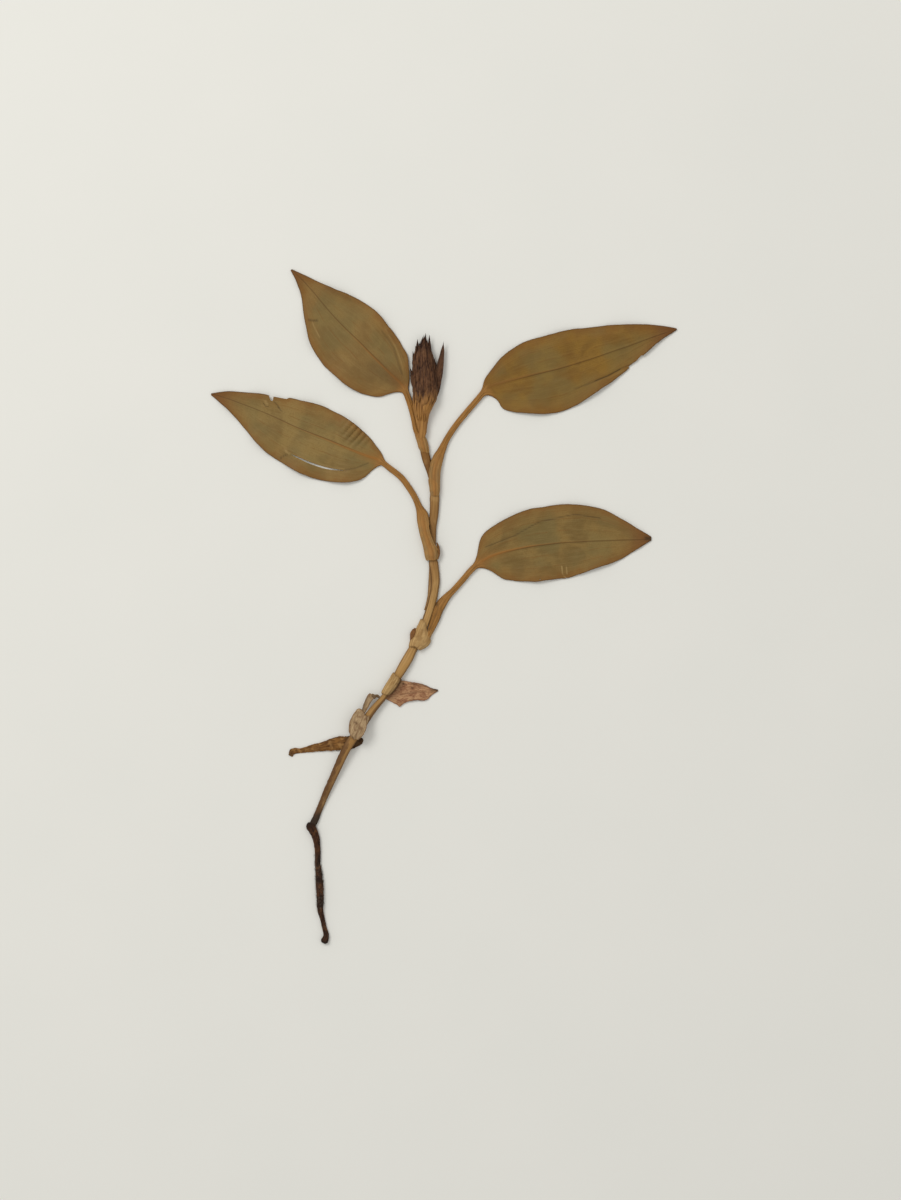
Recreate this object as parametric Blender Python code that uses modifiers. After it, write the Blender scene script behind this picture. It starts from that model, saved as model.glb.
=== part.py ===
"""A jewel orchid, pressed and dried whole, lying flat on its underside.

Four stalked leaves clasp one jointed stem, which ends in a head of dark pointed bracts above
and in two old roots below. A withered scale leaf and three papery sheaths cling to the lower joints.
The stem runs along Y with the flowers at +Y, the plant faces up (+Z) and its underside lies on Z = 0.
Lengths below are in millimetres.
"""

import math
import random

import bmesh
import bpy
import numpy as np
from mathutils import Vector

MM = 0.001

# Driving sizes shared by the pieces
BLADE = 0.6  # wall of a leaf blade
SHEATH_WALL = 0.6  # wall of a sheath
PETIOLE_WALL = 0.95  # wall of a leaf stalk
OUTWARD_SHARE = 0.8  # of a clasping wall's thickness, how much lies sideways of its inner face at the edge
STEM_FLATNESS = 1.12  # thickness of the pressed stem over half its width
PRESSED_MIDDLE = 0.86  # height of a pressed section's middle in half thicknesses; below 1, it lies flat
FLOOR_CLEARANCE = 0.25  # how far the sheath edges stay above the surface

# Leaves
STALK_HEIGHT = 0.45  # underside of a stalk's middle above the surface
BLADE_HEIGHT = 0.05  # underside of a blade above the surface
MIDRIB_HEIGHT = 0.35  # how far the midrib stands up from the blade
MIDRIB_WIDTH = 0.05  # its half width, as a share of the half blade's
VEIN_HEIGHT = 0.14  # how far the two long side veins of each half blade stand up
VEIN_WIDTH = 0.1  # their half width, as a share of the half blade's
VEIN_PLACES = (0.35, 0.7)  # where those run, as shares of the half blade's width
RELIEF_FADE = 0.7  # how steeply veins and waves fade toward the two ends of a blade; 1 is a sine arch
MARGIN_CURL = 1.6  # how strongly the waves keep to the margin; 1 is evenly across the half blade
MARGIN_SHIFT = 1.9  # how far the left margin's waves are shifted, as an angle
SHEATH_TO_STALK = (0.75, 1.35)  # where the clasping section flattens, as shares of the sheath's length
THIN_TO_THICK = (0.8, 1.4)  # where its wall grows thicker
STALK_TO_BLADE = (-1.5, 5.0)  # where a stalk opens into the blade, from the blade's start
BLADE_THINS = 3.0  # and how far on both sides of that start the wall grows thinner
EDGE_CLIMBS = 2.5  # length in which an open sheath's edge climbs onto the stem
EDGE_DROPS = 3.0  # length in which it goes down again
LEAST_REACH = 0.25  # of a leaf's inner face to either side
ARCH_FULLNESS = 0.8  # of a clasping section; 1 is a cosine arch, and less is fuller

TURN_SPAN = 1.8  # a route's direction is read over this much of it on both sides
NEVER = (1e3, 1e3)  # a stretch past the end of every leaf
WELD = 1e-4
SHARP_ANGLE = 50  # degrees

# Finishes: linear red, green and blue, then roughness
FINISHES = {
    "stem": ((0.40, 0.235, 0.085), 0.6),
    "leaf": ((0.16, 0.115, 0.035), 0.55),
    "root": ((0.05, 0.025, 0.012), 0.8),
    "side_root": ((0.17, 0.09, 0.03), 0.75),
    "sheath": ((0.42, 0.28, 0.11), 0.65),
    "grey_sheath": ((0.34, 0.25, 0.15), 0.8),
    "scale_leaf": ((0.30, 0.15, 0.09), 0.85),
    "bract": ((0.075, 0.035, 0.028), 0.7),
    "flower_cup": ((0.36, 0.21, 0.075), 0.6),
}

# Stem stations: x, y, half width, lift of the underside. It rises over what grows from beneath it.
STEM = [
    (-8.1, 61.5, 0.7, 0.0),
    (-7.8, 59.0, 0.9, 0.0),
    (-7.2, 57.0, 0.95, 0.0),
    (-6.7, 55.3, 1.35, 0.0),
    (-6.3, 53.3, 1.35, 0.0),
    (-5.5, 50.8, 1.3, 0.0),
    (-4.8, 48.3, 1.25, 0.0),
    (-3.9, 45.0, 1.15, 0.0),
    (-3.4, 40.6, 1.05, 0.0),
    (-3.4, 39.0, 1.75, 0.0),
    (-3.6, 34.1, 1.65, 0.0),
    (-4.2, 28.5, 1.45, 0.0),
    (-4.3, 24.0, 1.4, 0.0),
    (-4.1, 18.0, 1.4, 0.0),
    (-3.8, 15.3, 1.7, 0.0),
    (-3.2, 9.5, 1.7, 0.0),
    (-3.5, 5.9, 1.6, 0.0),
    (-4.25, 2.2, 1.55, 0.0),
    (-5.3, -1.5, 1.5, 0.0),
    (-6.5, -5.1, 1.45, 0.0),
    (-7.9, -8.8, 1.4, 0.0),
    (-9.7, -12.45, 1.4, 0.0),
    (-11.4, -15.8, 1.6, 0.1),
    (-13.4, -19.6, 1.85, 0.3),
    (-15.6, -23.3, 1.75, 0.6),
    (-18.3, -27.9, 1.4, 1.05),
    (-21.9, -33.2, 1.1, 1.15),
    (-25.5, -37.4, 1.25, 1.3),
    (-29.3, -42.5, 1.5, 1.65),
    (-33.2, -48.4, 1.6, 1.75),
    (-35.9, -52.7, 1.55, 1.65),
    (-38.5, -58.2, 1.45, 1.2),
    (-41.0, -63.7, 1.35, 0.7),
    (-43.6, -69.6, 1.3, 0.3),
    (-45.6, -74.4, 1.35, 0.0),
    (-47.55, -79.1, 1.45, 0.0),
]
STEM_JOINTS = [23.0, 47.6, 77.0, 97.0, 116.5]  # distances from the top of the swollen rings
SWELLING = 0.07  # how much wider the stem is at a joint
SWELLING_REACH = 0.9  # distance from a joint at which that has mostly gone
STEM_RINGS = 52
STEM_SIDES = 14
STEM_RIBS = 8
RIB_DEPTH = 0.05  # of the section's size

# Root stations: x, y, half width, lift
TAP_ROOT = [
    (-49.8, -79.7, 0.9, 0.0),
    (-48.7, -80.9, 1.8, 0.0),
    (-47.3, -83.5, 1.45, 0.0),
    (-46.3, -88.6, 1.15, 0.0),
    (-46.2, -94.1, 1.0, 0.0),
    (-45.8, -97.4, 1.15, 0.0),
    (-45.5, -102.2, 1.35, 0.0),
    (-45.3, -107.3, 1.3, 0.0),
    (-45.2, -111.7, 1.1, 0.0),
    (-44.5, -114.6, 0.9, 0.0),
    (-43.8, -117.8, 0.85, 0.0),
    (-43.2, -120.6, 1.05, 0.0),
    (-43.9, -123.4, 1.35, 0.0),
]
SIDE_ROOT = [
    (-56.3, -54.9, 0.75, 0.0),
    (-55.6, -53.4, 1.2, 0.0),
    (-52.7, -53.0, 0.9, 0.0),
    (-48.4, -52.2, 1.35, 0.0),
    (-43.6, -51.3, 1.85, 0.0),
    (-38.8, -50.4, 2.45, 0.0),
    (-34.4, -50.0, 2.5, 0.0),
    (-31.0, -49.4, 1.5, 0.0),
    (-29.7, -48.8, 0.8, 0.0),
]
ROOT_SIDES = 12
ROOT_RIBS = 3
KNOB_SLANT = 1.7  # how far a knob is shifted along the root from one side to the other, as an angle
TAP_ROOT_RINGS, SIDE_ROOT_RINGS = 36, 22
TAP_ROOT_FLATNESS, SIDE_ROOT_FLATNESS = 1.45, 0.55  # thickness over half the width
TAP_ROOT_KNOBS, SIDE_ROOT_KNOBS = 9, 5
TAP_KNOB_HEIGHT, SIDE_KNOB_HEIGHT = 0.09, 0.06  # of the section's size

# Leaf stations from the foot of the sheath to the tip: x, y of the midrib,
# then how far the blade, stalk or sheath reaches to its left and right
LEAF_UPPER_LEFT = [
    (-7.1, 56.5, 1.8, 2.0),
    (-7.7, 59.0, 2.0, 2.1),
    (-8.2, 60.8, 2.0, 2.0),
    (-8.9, 62.4, 1.8, 1.6),
    (-10.0, 64.0, 1.1, 0.9),
    (-10.9, 68.1, 1.0, 0.95),
    (-11.8, 71.8, 1.05, 1.05),
    (-12.9, 75.5, 1.15, 1.15),
    (-14.1, 78.6, 1.5, 1.5),
    (-15.7, 81.3, 6.2, 4.0),
    (-19.0, 84.5, 10.6, 8.6),
    (-22.5, 87.9, 13.2, 10.0),
    (-29.4, 94.8, 14.9, 12.0),
    (-36.3, 101.5, 14.3, 12.1),
    (-42.9, 108.6, 10.0, 9.1),
    (-49.1, 116.0, 4.1, 4.1),
    (-52.4, 119.6, 2.0, 2.1),
    (-55.9, 123.1, 0.35, 0.35),
]
LEAF_LEFT = [
    (-4.1, 17.0, 2.6, 2.6),
    (-4.5, 20.1, 2.6, 2.6),
    (-5.3, 22.8, 2.3, 2.1),
    (-6.6, 26.5, 2.0, 1.95),
    (-7.5, 30.8, 2.1, 2.2),
    (-8.1, 33.6, 1.95, 2.2),
    (-9.1, 36.2, 1.45, 1.4),
    (-10.7, 39.9, 1.1, 1.1),
    (-12.4, 42.7, 1.1, 1.1),
    (-15.7, 47.1, 1.1, 1.1),
    (-20.3, 50.8, 1.0, 1.0),
    (-22.4, 52.5, 1.4, 1.4),
    (-24.2, 53.6, 4.2, 3.0),
    (-28.3, 55.0, 9.6, 6.2),
    (-33.5, 57.0, 12.7, 8.3),
    (-43.8, 61.2, 15.0, 10.6),
    (-54.2, 65.3, 13.8, 10.3),
    (-64.3, 69.9, 11.0, 7.6),
    (-74.7, 74.0, 5.2, 4.5),
    (-79.9, 75.9, 2.7, 2.8),
    (-85.2, 77.6, 0.35, 0.35),
]
LEAF_UPPER_RIGHT = [
    (-3.35, 40.9, 2.0, 2.0),
    (-3.4, 43.5, 2.1, 2.1),
    (-3.6, 46.2, 2.4, 2.4),
    (-3.4, 49.8, 2.45, 2.45),
    (-2.4, 53.5, 2.2, 2.2),
    (-0.8, 57.1, 1.65, 1.65),
    (0.9, 60.8, 1.15, 1.15),
    (3.2, 64.5, 1.05, 1.05),
    (5.9, 68.1, 0.95, 0.95),
    (9.0, 71.8, 0.95, 0.95),
    (12.2, 75.5, 1.0, 1.0),
    (14.8, 78.6, 1.5, 1.5),
    (16.9, 80.4, 3.6, 5.2),
    (21.4, 81.8, 7.7, 10.6),
    (27.3, 83.4, 10.8, 13.3),
    (39.0, 86.3, 12.7, 15.6),
    (50.7, 89.7, 12.2, 12.9),
    (62.2, 93.6, 9.6, 9.2),
    (73.7, 97.7, 5.8, 4.3),
    (79.4, 99.7, 3.2, 2.1),
    (85.2, 101.4, 0.35, 0.35),
]
LEAF_LOWER_RIGHT = [
    (-7.0, -13.2, 0.9, 1.3),
    (-5.7, -10.6, 1.0, 1.2),
    (-4.4, -8.2, 0.85, 1.1),
    (-3.0, -5.1, 0.95, 1.3),
    (-1.7, -1.5, 1.1, 1.4),
    (-0.5, 1.0, 1.15, 1.4),
    (0.9, 3.1, 1.15, 1.2),
    (3.6, 5.9, 1.05, 1.05),
    (6.8, 9.5, 1.0, 1.0),
    (10.0, 13.2, 1.1, 1.1),
    (12.0, 15.0, 1.6, 1.6),
    (13.9, 16.4, 3.3, 3.0),
    (17.2, 18.2, 8.1, 9.2),
    (22.4, 19.9, 10.7, 11.2),
    (32.9, 22.1, 13.4, 13.3),
    (43.6, 23.4, 13.8, 13.3),
    (54.3, 24.0, 12.5, 10.5),
    (65.1, 24.4, 7.6, 7.0),
    (70.5, 24.5, 4.2, 3.8),
    (75.9, 24.6, 0.5, 0.5),
]
PETIOLE_ROWS = 13
BLADE_ROWS = 20
BLADE_SHARES = [0.0, 0.05, 0.18, 0.35, 0.52, 0.7, 0.86, 1.0]  # places across a half blade
# Where each leaf's blade starts, as a station of its list
UPPER_LEFT_BLADE, LEFT_BLADE, UPPER_RIGHT_BLADE, LOWER_RIGHT_BLADE = 8, 11, 11, 10

# Papery pieces on the lower joints: x, y, reach to the left and right
SCALE_LEAF = [
    (-21.6, -33.2, 1.4, 0.9),
    (-20.3, -32.9, 2.4, 1.9),
    (-18.3, -32.6, 4.0, 3.3),
    (-16.7, -32.4, 4.9, 4.4),
    (-14.9, -32.2, 4.9, 3.4),
    (-11.7, -31.7, 4.0, 3.0),
    (-7.0, -31.1, 2.3, 3.5),
    (-4.4, -31.0, 0.9, 1.6),
    (-2.2, -30.9, 0.3, 0.3),
]
LOWER_SHEATH = [
    (-22.4, -34.0, 2.15, 1.95),
    (-20.5, -31.2, 2.2, 2.1),
    (-18.3, -27.9, 2.25, 2.25),
    (-17.0, -25.6, 2.4, 2.4),
]
KNUCKLE_SHEATH = [
    (-33.9, -49.6, 2.6, 2.5),
    (-32.5, -47.2, 3.0, 3.0),
    (-30.6, -44.3, 3.1, 2.7),
    (-28.4, -41.2, 2.9, 2.6),
    (-27.0, -39.0, 2.5, 2.4),
]
COLLAR = [
    (-11.2, -15.6, 2.5, 2.5),
    (-10.0, -13.2, 2.5, 4.0),
    (-8.8, -10.6, 2.3, 3.8),
    (-7.9, -8.2, 2.2, 3.0),
    (-7.2, -6.2, 2.2, 2.4),
]
TORN_TONGUE = [
    (-30.0, -39.9, 0.6, 0.4),
    (-28.3, -37.3, 0.75, 0.6),
    (-27.3, -34.7, 0.75, 0.6),
    (-26.1, -32.7, 0.8, 0.7),
    (-24.5, -32.2, 0.4, 0.4),
]

WRAP_SHARES = [-1.0, -0.72, -0.4, 0.0, 0.4, 0.72, 1.0]  # places across a sheath
WRAP_ROWS = 8
FRAY = 0.35  # how far a sheath's torn ends run out or fall short
STRIP_SHARES = [-1.0, -0.6, -0.25, 0.0, 0.25, 0.6, 1.0]  # places across a flat strip
STRIP_ROWS = 14
STRIP_GAP = 0.02  # under a strip
STRIP_RIPPLE = 0.35  # height of a strip's ripples over that of its curled margins
STRIP_RIPPLE_TURNS = 9.0  # their angle from one end to the other
STRIP_RIPPLE_SLANT = 3.0  # and from the middle to a margin

# Flower head, pressed into layers. For each layer: its height, then each bract's foot x, tip x, tip y
# and half width. The tips stand free, the lower parts overlap round a small core.
BRACT_LAYERS = [
    (0.7, [
        (-9.9, -10.9, 92.4, 1.45),
        (-8.0, -8.9, 96.0, 1.7),
        (-6.0, -5.6, 96.6, 1.7),
        (-4.0, -2.9, 89.4, 1.6),
    ]),
    (1.75, [
        (-9.6, -9.7, 97.6, 1.7),
        (-7.5, -6.7, 99.9, 1.6),
        (-5.6, -5.3, 99.2, 1.4),
        (-4.0, -3.4, 90.6, 1.4),
    ]),
    (2.8, [
        (-9.3, -8.1, 97.8, 1.4),
        (-7.4, -6.9, 94.6, 1.5),
        (-5.8, -4.8, 93.8, 1.4),
        (-4.3, -4.1, 88.6, 1.3),
    ]),
    (3.6, [
        (-9.4, -9.9, 88.5, 1.2),
        (-8.0, -8.0, 91.4, 1.3),
        (-6.5, -5.9, 88.2, 1.3),
        (-5.0, -4.5, 85.6, 1.3),
    ]),
]
BRACT_FOOT = 74.9  # y of the lowest feet
BRACT_STEP = 0.5  # how much higher every second foot of a layer sits
BRACT_WALL = 0.62
BRACT_ROWS = 7
BRACT_SHARES = [-1.0, -0.5, 0.0, 0.5, 1.0]  # places across a bract
BRACT_KEEL = 0.4  # how far its middle stands up
BRACT_CUT = 0.27  # its outline is a sine arch from this share of the arch, its foot, to the tip
BRACT_POINT = 1.15  # how slender that makes the tip; 1 is a sine arch
BRACT_TIP = 0.14  # half width of a tip
SPREAD_LEAD = 0.15  # share of a bract by which its rise away from the core starts before its foot
KEEL_LEAD = 0.1  # the same for its keel
# The core: x, y, half width, half thickness
HEAD_CORE = [
    (-6.9, 74.9, 3.9, 1.5),
    (-6.9, 79.0, 4.2, 1.7),
    (-6.8, 85.0, 3.2, 1.5),
    (-6.8, 90.0, 1.4, 1.0),
]
CORE_RINGS, CORE_SIDES = 8, 12
HEAD_MIDDLE = 2.2  # height of the core's axis
STRAY_BRACT = [
    (-4.2, 75.2, 1.2, 1.0),
    (-3.1, 79.0, 1.7, 1.5),
    (-2.2, 83.5, 1.8, 1.5),
    (-1.2, 88.5, 1.3, 1.1),
    (-0.5, 93.0, 0.75, 0.65),
    (-0.1, 97.0, 0.3, 0.3),
]
STRAY_BRACT_HEIGHT = 1.5
STRAY_BRACT_CURL = 0.3
STRAY_BRACT_ROWS = 8
# Tan cup of fused sheathing bract bases under the head: x, y, half width, half thickness
FLOWER_CUP = [
    (-7.3, 63.6, 1.05, 0.9),
    (-7.8, 67.4, 1.6, 1.1),
    (-7.7, 69.6, 2.15, 1.35),
    (-7.5, 72.4, 3.15, 1.6),
    (-7.0, 74.5, 4.1, 1.75),
]
CUP_MIDDLE = 1.95
CUP_RINGS, CUP_SIDES = 10, 21
CUP_RIBS = 7
CUP_RIB_DEPTH = 0.06

# Damage that shows from a step away
SLIT = [(-56.1, 55.6), (-48.5, 52.2), (-42.6, 50.4), (-36.8, 49.6)]
SLIT_WIDTH = 0.45
SLIT_TIP = 0.15  # share of that width at its two ends
SLIT_STEPS = 10
NOTCH_AT = (-63.2, 77.6)
NOTCH_WIDTH = 1.3
NOTCH_DEPTH = 2.6
NOTCH_CORNERS = 5
CUT_FROM, CUT_HEIGHT = -2.0, 8.0  # where the cutters start, below the surface, and how tall they are


class Route:
    """A smooth line through stations of x, y and sizes, read at any distance along it."""

    def __init__(self, stations):
        self.table = np.array(stations, float)
        steps = np.linalg.norm(np.diff(self.table[:, :2], axis=0), axis=1)
        self.marks = np.concatenate([[0.0], np.cumsum(steps)])
        self.length = self.marks[-1]
        chords = np.diff(self.table, axis=0) / steps[:, None]
        self.slopes = np.vstack([chords[:1], (chords[1:] + chords[:-1]) / 2, chords[-1:]])
        # Sizes never swing past their stations: a turning point gets a level slope
        level = chords[1:, 2:] * chords[:-1, 2:] <= 0
        self.slopes[1:-1, 2:][level] = 0
        least = np.minimum(np.abs(chords[1:, 2:]), np.abs(chords[:-1, 2:])) * 3
        self.slopes[1:-1, 2:] = np.clip(self.slopes[1:-1, 2:], -least, least)

    def at(self, distance):
        """Every column of the stations at this distance."""
        distance = min(max(distance, 0.0), self.length)
        k = min(int(np.searchsorted(self.marks, distance, side="right")) - 1, len(self.marks) - 2)
        span = self.marks[k + 1] - self.marks[k]
        t = (distance - self.marks[k]) / span
        start, end = self.table[k], self.table[k + 1]
        rise, fall = self.slopes[k] * span, self.slopes[k + 1] * span
        return (
            start * (1 + 2 * t) * (1 - t) ** 2
            + rise * t * (1 - t) ** 2
            + end * t * t * (3 - 2 * t)
            + fall * t * t * (t - 1)
        )

    def sideways(self, distance):
        """The unit vector in plan that points to the left of the way the route runs."""
        ahead = self.at(distance + TURN_SPAN)[:2] - self.at(distance - TURN_SPAN)[:2]
        ahead /= np.linalg.norm(ahead)
        return np.array([-ahead[1], ahead[0]])


def ease(value, low, high):
    """0 below low, 1 above high and a smooth rise between."""
    t = min(max((value - low) / (high - low), 0.0), 1.0)
    return t * t * (3 - 2 * t)


def material(name):
    """A matt dried surface of one colour."""
    colour, roughness = FINISHES[name]
    made = bpy.data.materials.new(name)
    made.use_nodes = True
    shader = made.node_tree.nodes["Principled BSDF"]
    shader.inputs["Base Color"].default_value = (*colour, 1.0)
    shader.inputs["Roughness"].default_value = roughness
    shader.inputs["Metallic"].default_value = 0.0
    return made


def add_object(name, bm, finish, collection):
    """The bmesh as a smooth-shaded object in metres."""
    mesh = bpy.data.meshes.new(name)
    bmesh.ops.scale(bm, vec=(MM, MM, MM), verts=bm.verts)
    bm.to_mesh(mesh)
    bm.free()
    mesh.shade_smooth()
    mesh.set_sharp_from_angle(angle=math.radians(SHARP_ANGLE))
    made = bpy.data.objects.new(name, mesh)
    if finish is not None:
        mesh.materials.append(finish)
    collection.objects.link(made)
    return made


def sheet(name, lengthwise, across, place, wall, finish, collection):
    """A thin solid on a grid: place(length, width share) is its inner face, and it thickens upward.

    lengthwise and across are the places of the grid's lines. wall(length) is the thickness.
    Both faces share one set of diagonals.
    """
    bm = bmesh.new()
    bmesh.ops.create_grid(bm, x_segments=len(lengthwise) - 1, y_segments=len(across) - 1, size=1)
    thickness = bm.verts.layers.deform.verify()
    thickest = max(wall(u) for u in lengthwise)
    for vertex in bm.verts:
        u = lengthwise[round((vertex.co.x + 1) / 2 * (len(lengthwise) - 1))]
        s = across[round((vertex.co.y + 1) / 2 * (len(across) - 1))]
        vertex[thickness][0] = wall(u) / thickest
        vertex.co = Vector(place(u, s))
    bmesh.ops.triangulate(bm, faces=bm.faces)
    bm.normal_update()
    if sum(face.normal.z * face.calc_area() for face in bm.faces) < 0:
        bmesh.ops.reverse_faces(bm, faces=bm.faces)
    made = add_object(name, bm, finish, collection)
    made.vertex_groups.new(name="thickness")
    solidify = made.modifiers.new("Thickness", "SOLIDIFY")
    solidify.thickness = thickest * MM
    solidify.offset = 1.0
    solidify.vertex_group = "thickness"
    return made


def tube(name, rings, sides, place, finish, collection):
    """A closed tube: place(length share, turn) is a point of its skin."""
    bm = bmesh.new()
    bmesh.ops.create_grid(bm, x_segments=rings, y_segments=sides, size=1)
    for vertex in bm.verts:
        vertex.co = Vector(place((vertex.co.x + 1) / 2, (vertex.co.y + 1) * math.pi))
    bmesh.ops.remove_doubles(bm, verts=bm.verts, dist=WELD)
    bmesh.ops.holes_fill(bm, edges=bm.edges, sides=sides)
    bmesh.ops.triangulate(bm, faces=[face for face in bm.faces if len(face.verts) > 4])
    bmesh.ops.recalc_face_normals(bm, faces=bm.faces)
    return add_object(name, bm, finish, collection)


def fuse(name, pieces):
    """One Boolean union of the pieces, as a single object."""
    first, rest = pieces[0], pieces[1:]
    helpers = bpy.data.collections.new(name + " pieces")
    bpy.context.scene.collection.children.link(helpers)
    for piece in rest:
        for held in piece.users_collection:
            held.objects.unlink(piece)
        helpers.objects.link(piece)
    union = first.modifiers.new("Union", "BOOLEAN")
    union.operand_type = "COLLECTION"
    union.collection = helpers
    union.operation = "UNION"
    union.solver = "EXACT"
    settle(first)
    for piece in rest:
        bpy.data.objects.remove(piece)
    bpy.data.collections.remove(helpers)
    fill_hollows(first.data)
    first.name = name
    return first


def fill_hollows(mesh):
    """Keeps only the outermost skin of a fused mesh, so that pockets sealed between its pieces are solid."""
    bm = bmesh.new()
    bm.from_mesh(mesh)
    unseen = set(bm.verts)
    skins = []
    while unseen:
        edge_of_search = [unseen.pop()]
        skin = list(edge_of_search)
        while edge_of_search:
            vertex = edge_of_search.pop()
            for neighbour in (edge.other_vert(vertex) for edge in vertex.link_edges):
                if neighbour in unseen:
                    unseen.remove(neighbour)
                    edge_of_search.append(neighbour)
                    skin.append(neighbour)
        skins.append(skin)
    outer = max(skins, key=len)
    for skin in skins:
        if skin is not outer:
            bmesh.ops.delete(bm, geom=skin, context="VERTS")
    bm.to_mesh(mesh)
    bm.free()


def settle(target):
    """Applies the object's modifiers."""
    graph = bpy.context.evaluated_depsgraph_get()
    mesh = bpy.data.meshes.new_from_object(target.evaluated_get(graph))
    target.modifiers.clear()
    target.data = mesh


def cut(target, cutter, cutters):
    """Takes the cutter out of the target with a Boolean that stays on it."""
    for held in cutter.users_collection:
        held.objects.unlink(cutter)
    cutters.objects.link(cutter)
    cutter.hide_render = True
    cutter.display_type = "WIRE"
    difference = target.modifiers.new("Cut " + cutter.name, "BOOLEAN")
    difference.operation = "DIFFERENCE"
    difference.object = cutter
    difference.solver = "EXACT"


def evenly(count):
    """Shares from 0 to 1 in this many steps."""
    return [k / count for k in range(count + 1)]


def ridge(place, at, width):
    """A narrow smooth hump, 1 at its place."""
    return math.exp(-(((place - at) / width) ** 2))


def flattened(route, flatness, ribs, bulges=()):
    """place() for a pressed, ribbed tube along a route whose sizes are half width and lift."""

    def place(u, turn):
        distance = u * route.length
        x, y, half, lift = route.at(distance)
        half *= 1 + SWELLING * sum(ridge(distance, at, SWELLING_REACH) for at in bulges)
        rib = 1 + RIB_DEPTH * math.cos(ribs * turn)
        height = half * flatness
        side = half * math.cos(turn) * rib
        # The underside is pressed flat
        z = max(height / 2 * (PRESSED_MIDDLE + math.sin(turn) * rib), 0.0)
        plan = np.array([x, y]) + route.sideways(distance) * side
        return plan[0], plan[1], z + lift

    return place


def make_stem(collection):
    place = flattened(Route(STEM), STEM_FLATNESS, STEM_RIBS, STEM_JOINTS)
    tube("stem", STEM_RINGS, STEM_SIDES, place, material("stem"), collection)


def root_skin(route, flatness, knobs, height):
    """place() for an old root: a flattened tube whose girth swells and shrinks along its length."""
    plain = flattened(route, flatness, ROOT_RIBS)

    def place(u, turn):
        x, y, z = plain(u, turn)
        centre = route.at(u * route.length)[:2]
        knob = math.sin(knobs * u * 2 * math.pi + KNOB_SLANT * math.sin(turn))
        grow = 1 + height * knob * math.sqrt(math.sin(math.pi * u))
        plan = centre + (np.array([x, y]) - centre) * grow
        return plan[0], plan[1], z

    return place


def make_roots(collection):
    tap = root_skin(Route(TAP_ROOT), TAP_ROOT_FLATNESS, TAP_ROOT_KNOBS, TAP_KNOB_HEIGHT)
    tube("tap_root", TAP_ROOT_RINGS, ROOT_SIDES, tap, material("root"), collection)
    side = root_skin(Route(SIDE_ROOT), SIDE_ROOT_FLATNESS, SIDE_ROOT_KNOBS, SIDE_KNOB_HEIGHT)
    tube("side_root", SIDE_ROOT_RINGS, ROOT_SIDES, side, material("side_root"), collection)


def leaf_rows(route, blade_from):
    """Distances along a leaf: even on the stalk, and closer together at both ends of the blade."""
    stalk = [blade_from * k / PETIOLE_ROWS for k in range(PETIOLE_ROWS)]
    blade_length = route.length - blade_from
    blade = [
        blade_from + blade_length * (0.5 - 0.5 * math.cos(math.pi * share))
        for share in evenly(BLADE_ROWS)
    ]
    return stalk + blade


def arch(s):
    """Height of a clasping section across its width, 1 at the middle and 0 at the edges."""
    return math.cos(s * math.pi / 2) ** ARCH_FULLNESS


def clasp_heights(crown, open_left, open_right, sheath_end):
    """Underside heights of a sheath's middle and two edges at a distance.

    open_left and open_right are the distances between which that edge lies on top of the stem.
    """

    def heights(distance):
        start, end = SHEATH_TO_STALK
        held = 1 - ease(distance, sheath_end * start, sheath_end * end)
        middle = STALK_HEIGHT + (crown - STALK_HEIGHT) * held
        edges = []
        for start, end in (open_left, open_right):
            climbed = ease(distance, start, start + EDGE_CLIMBS)
            dropped = ease(distance, end, end + EDGE_DROPS)
            edges.append(FLOOR_CLEARANCE + (crown - FLOOR_CLEARANCE) * climbed * (1 - dropped))
        return middle, edges[0], edges[1]

    return heights


def make_leaf(name, stations, blade_station, finish, collection,
              crown, sheath_end, ripple, open_left=NEVER, open_right=NEVER):
    """A leaf in one piece: the sheath that clasps the stem, the grooved stalk and the blade.

    crown is the height of the sheath's middle, and ripple is (waves along the margin, their height, phase).
    """
    route = Route(stations)
    blade_from = route.marks[blade_station]
    rows = leaf_rows(route, blade_from)
    across = [-s for s in reversed(BLADE_SHARES[1:])] + BLADE_SHARES
    heights = clasp_heights(crown, open_left, open_right, sheath_end)
    waves, wave_height, phase = ripple

    def wall(distance):
        blade = ease(distance, blade_from - BLADE_THINS, blade_from + BLADE_THINS)
        start, end = THIN_TO_THICK
        stalk = ease(distance, sheath_end * start, sheath_end * end)
        held = SHEATH_WALL + (PETIOLE_WALL - SHEATH_WALL) * stalk
        return held * (1 - blade) + BLADE * blade

    def place(distance, s):
        x, y, left, right = route.at(distance)
        start, end = STALK_TO_BLADE
        blade = ease(distance, blade_from + start, blade_from + end)
        # The wall grows outward from this inner face, so the face starts that much further in
        trim = OUTWARD_SHARE * wall(distance) * (1 - blade)
        reach = max((left if s < 0 else right) - trim, LEAST_REACH)
        lateral = reach * ((1 - blade) * math.sin(s * math.pi / 2) + blade * s)
        middle, left_edge, right_edge = heights(distance)
        edge = left_edge if s < 0 else right_edge
        clasp = edge + (middle - edge) * arch(s)
        share = (distance - blade_from) / (route.length - blade_from)
        taper = math.sin(math.pi * min(max(share, 0.0), 1.0)) ** RELIEF_FADE
        veins = MIDRIB_HEIGHT * ridge(s, 0.0, MIDRIB_WIDTH)
        veins += VEIN_HEIGHT * sum(ridge(abs(s), at, VEIN_WIDTH) for at in VEIN_PLACES)
        shift = phase + (MARGIN_SHIFT if s < 0 else 0.0)
        wave = wave_height * (0.5 + 0.5 * math.sin(2 * math.pi * waves * share + shift))
        flat = BLADE_HEIGHT + (veins + wave * abs(s) ** MARGIN_CURL) * taper
        # s = -1 is the left margin
        plan = np.array([x, y]) - route.sideways(distance) * lateral
        return plan[0], plan[1], clasp * (1 - blade) + flat * blade

    return sheet(name, rows, across, place, wall, finish, collection)


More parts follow.
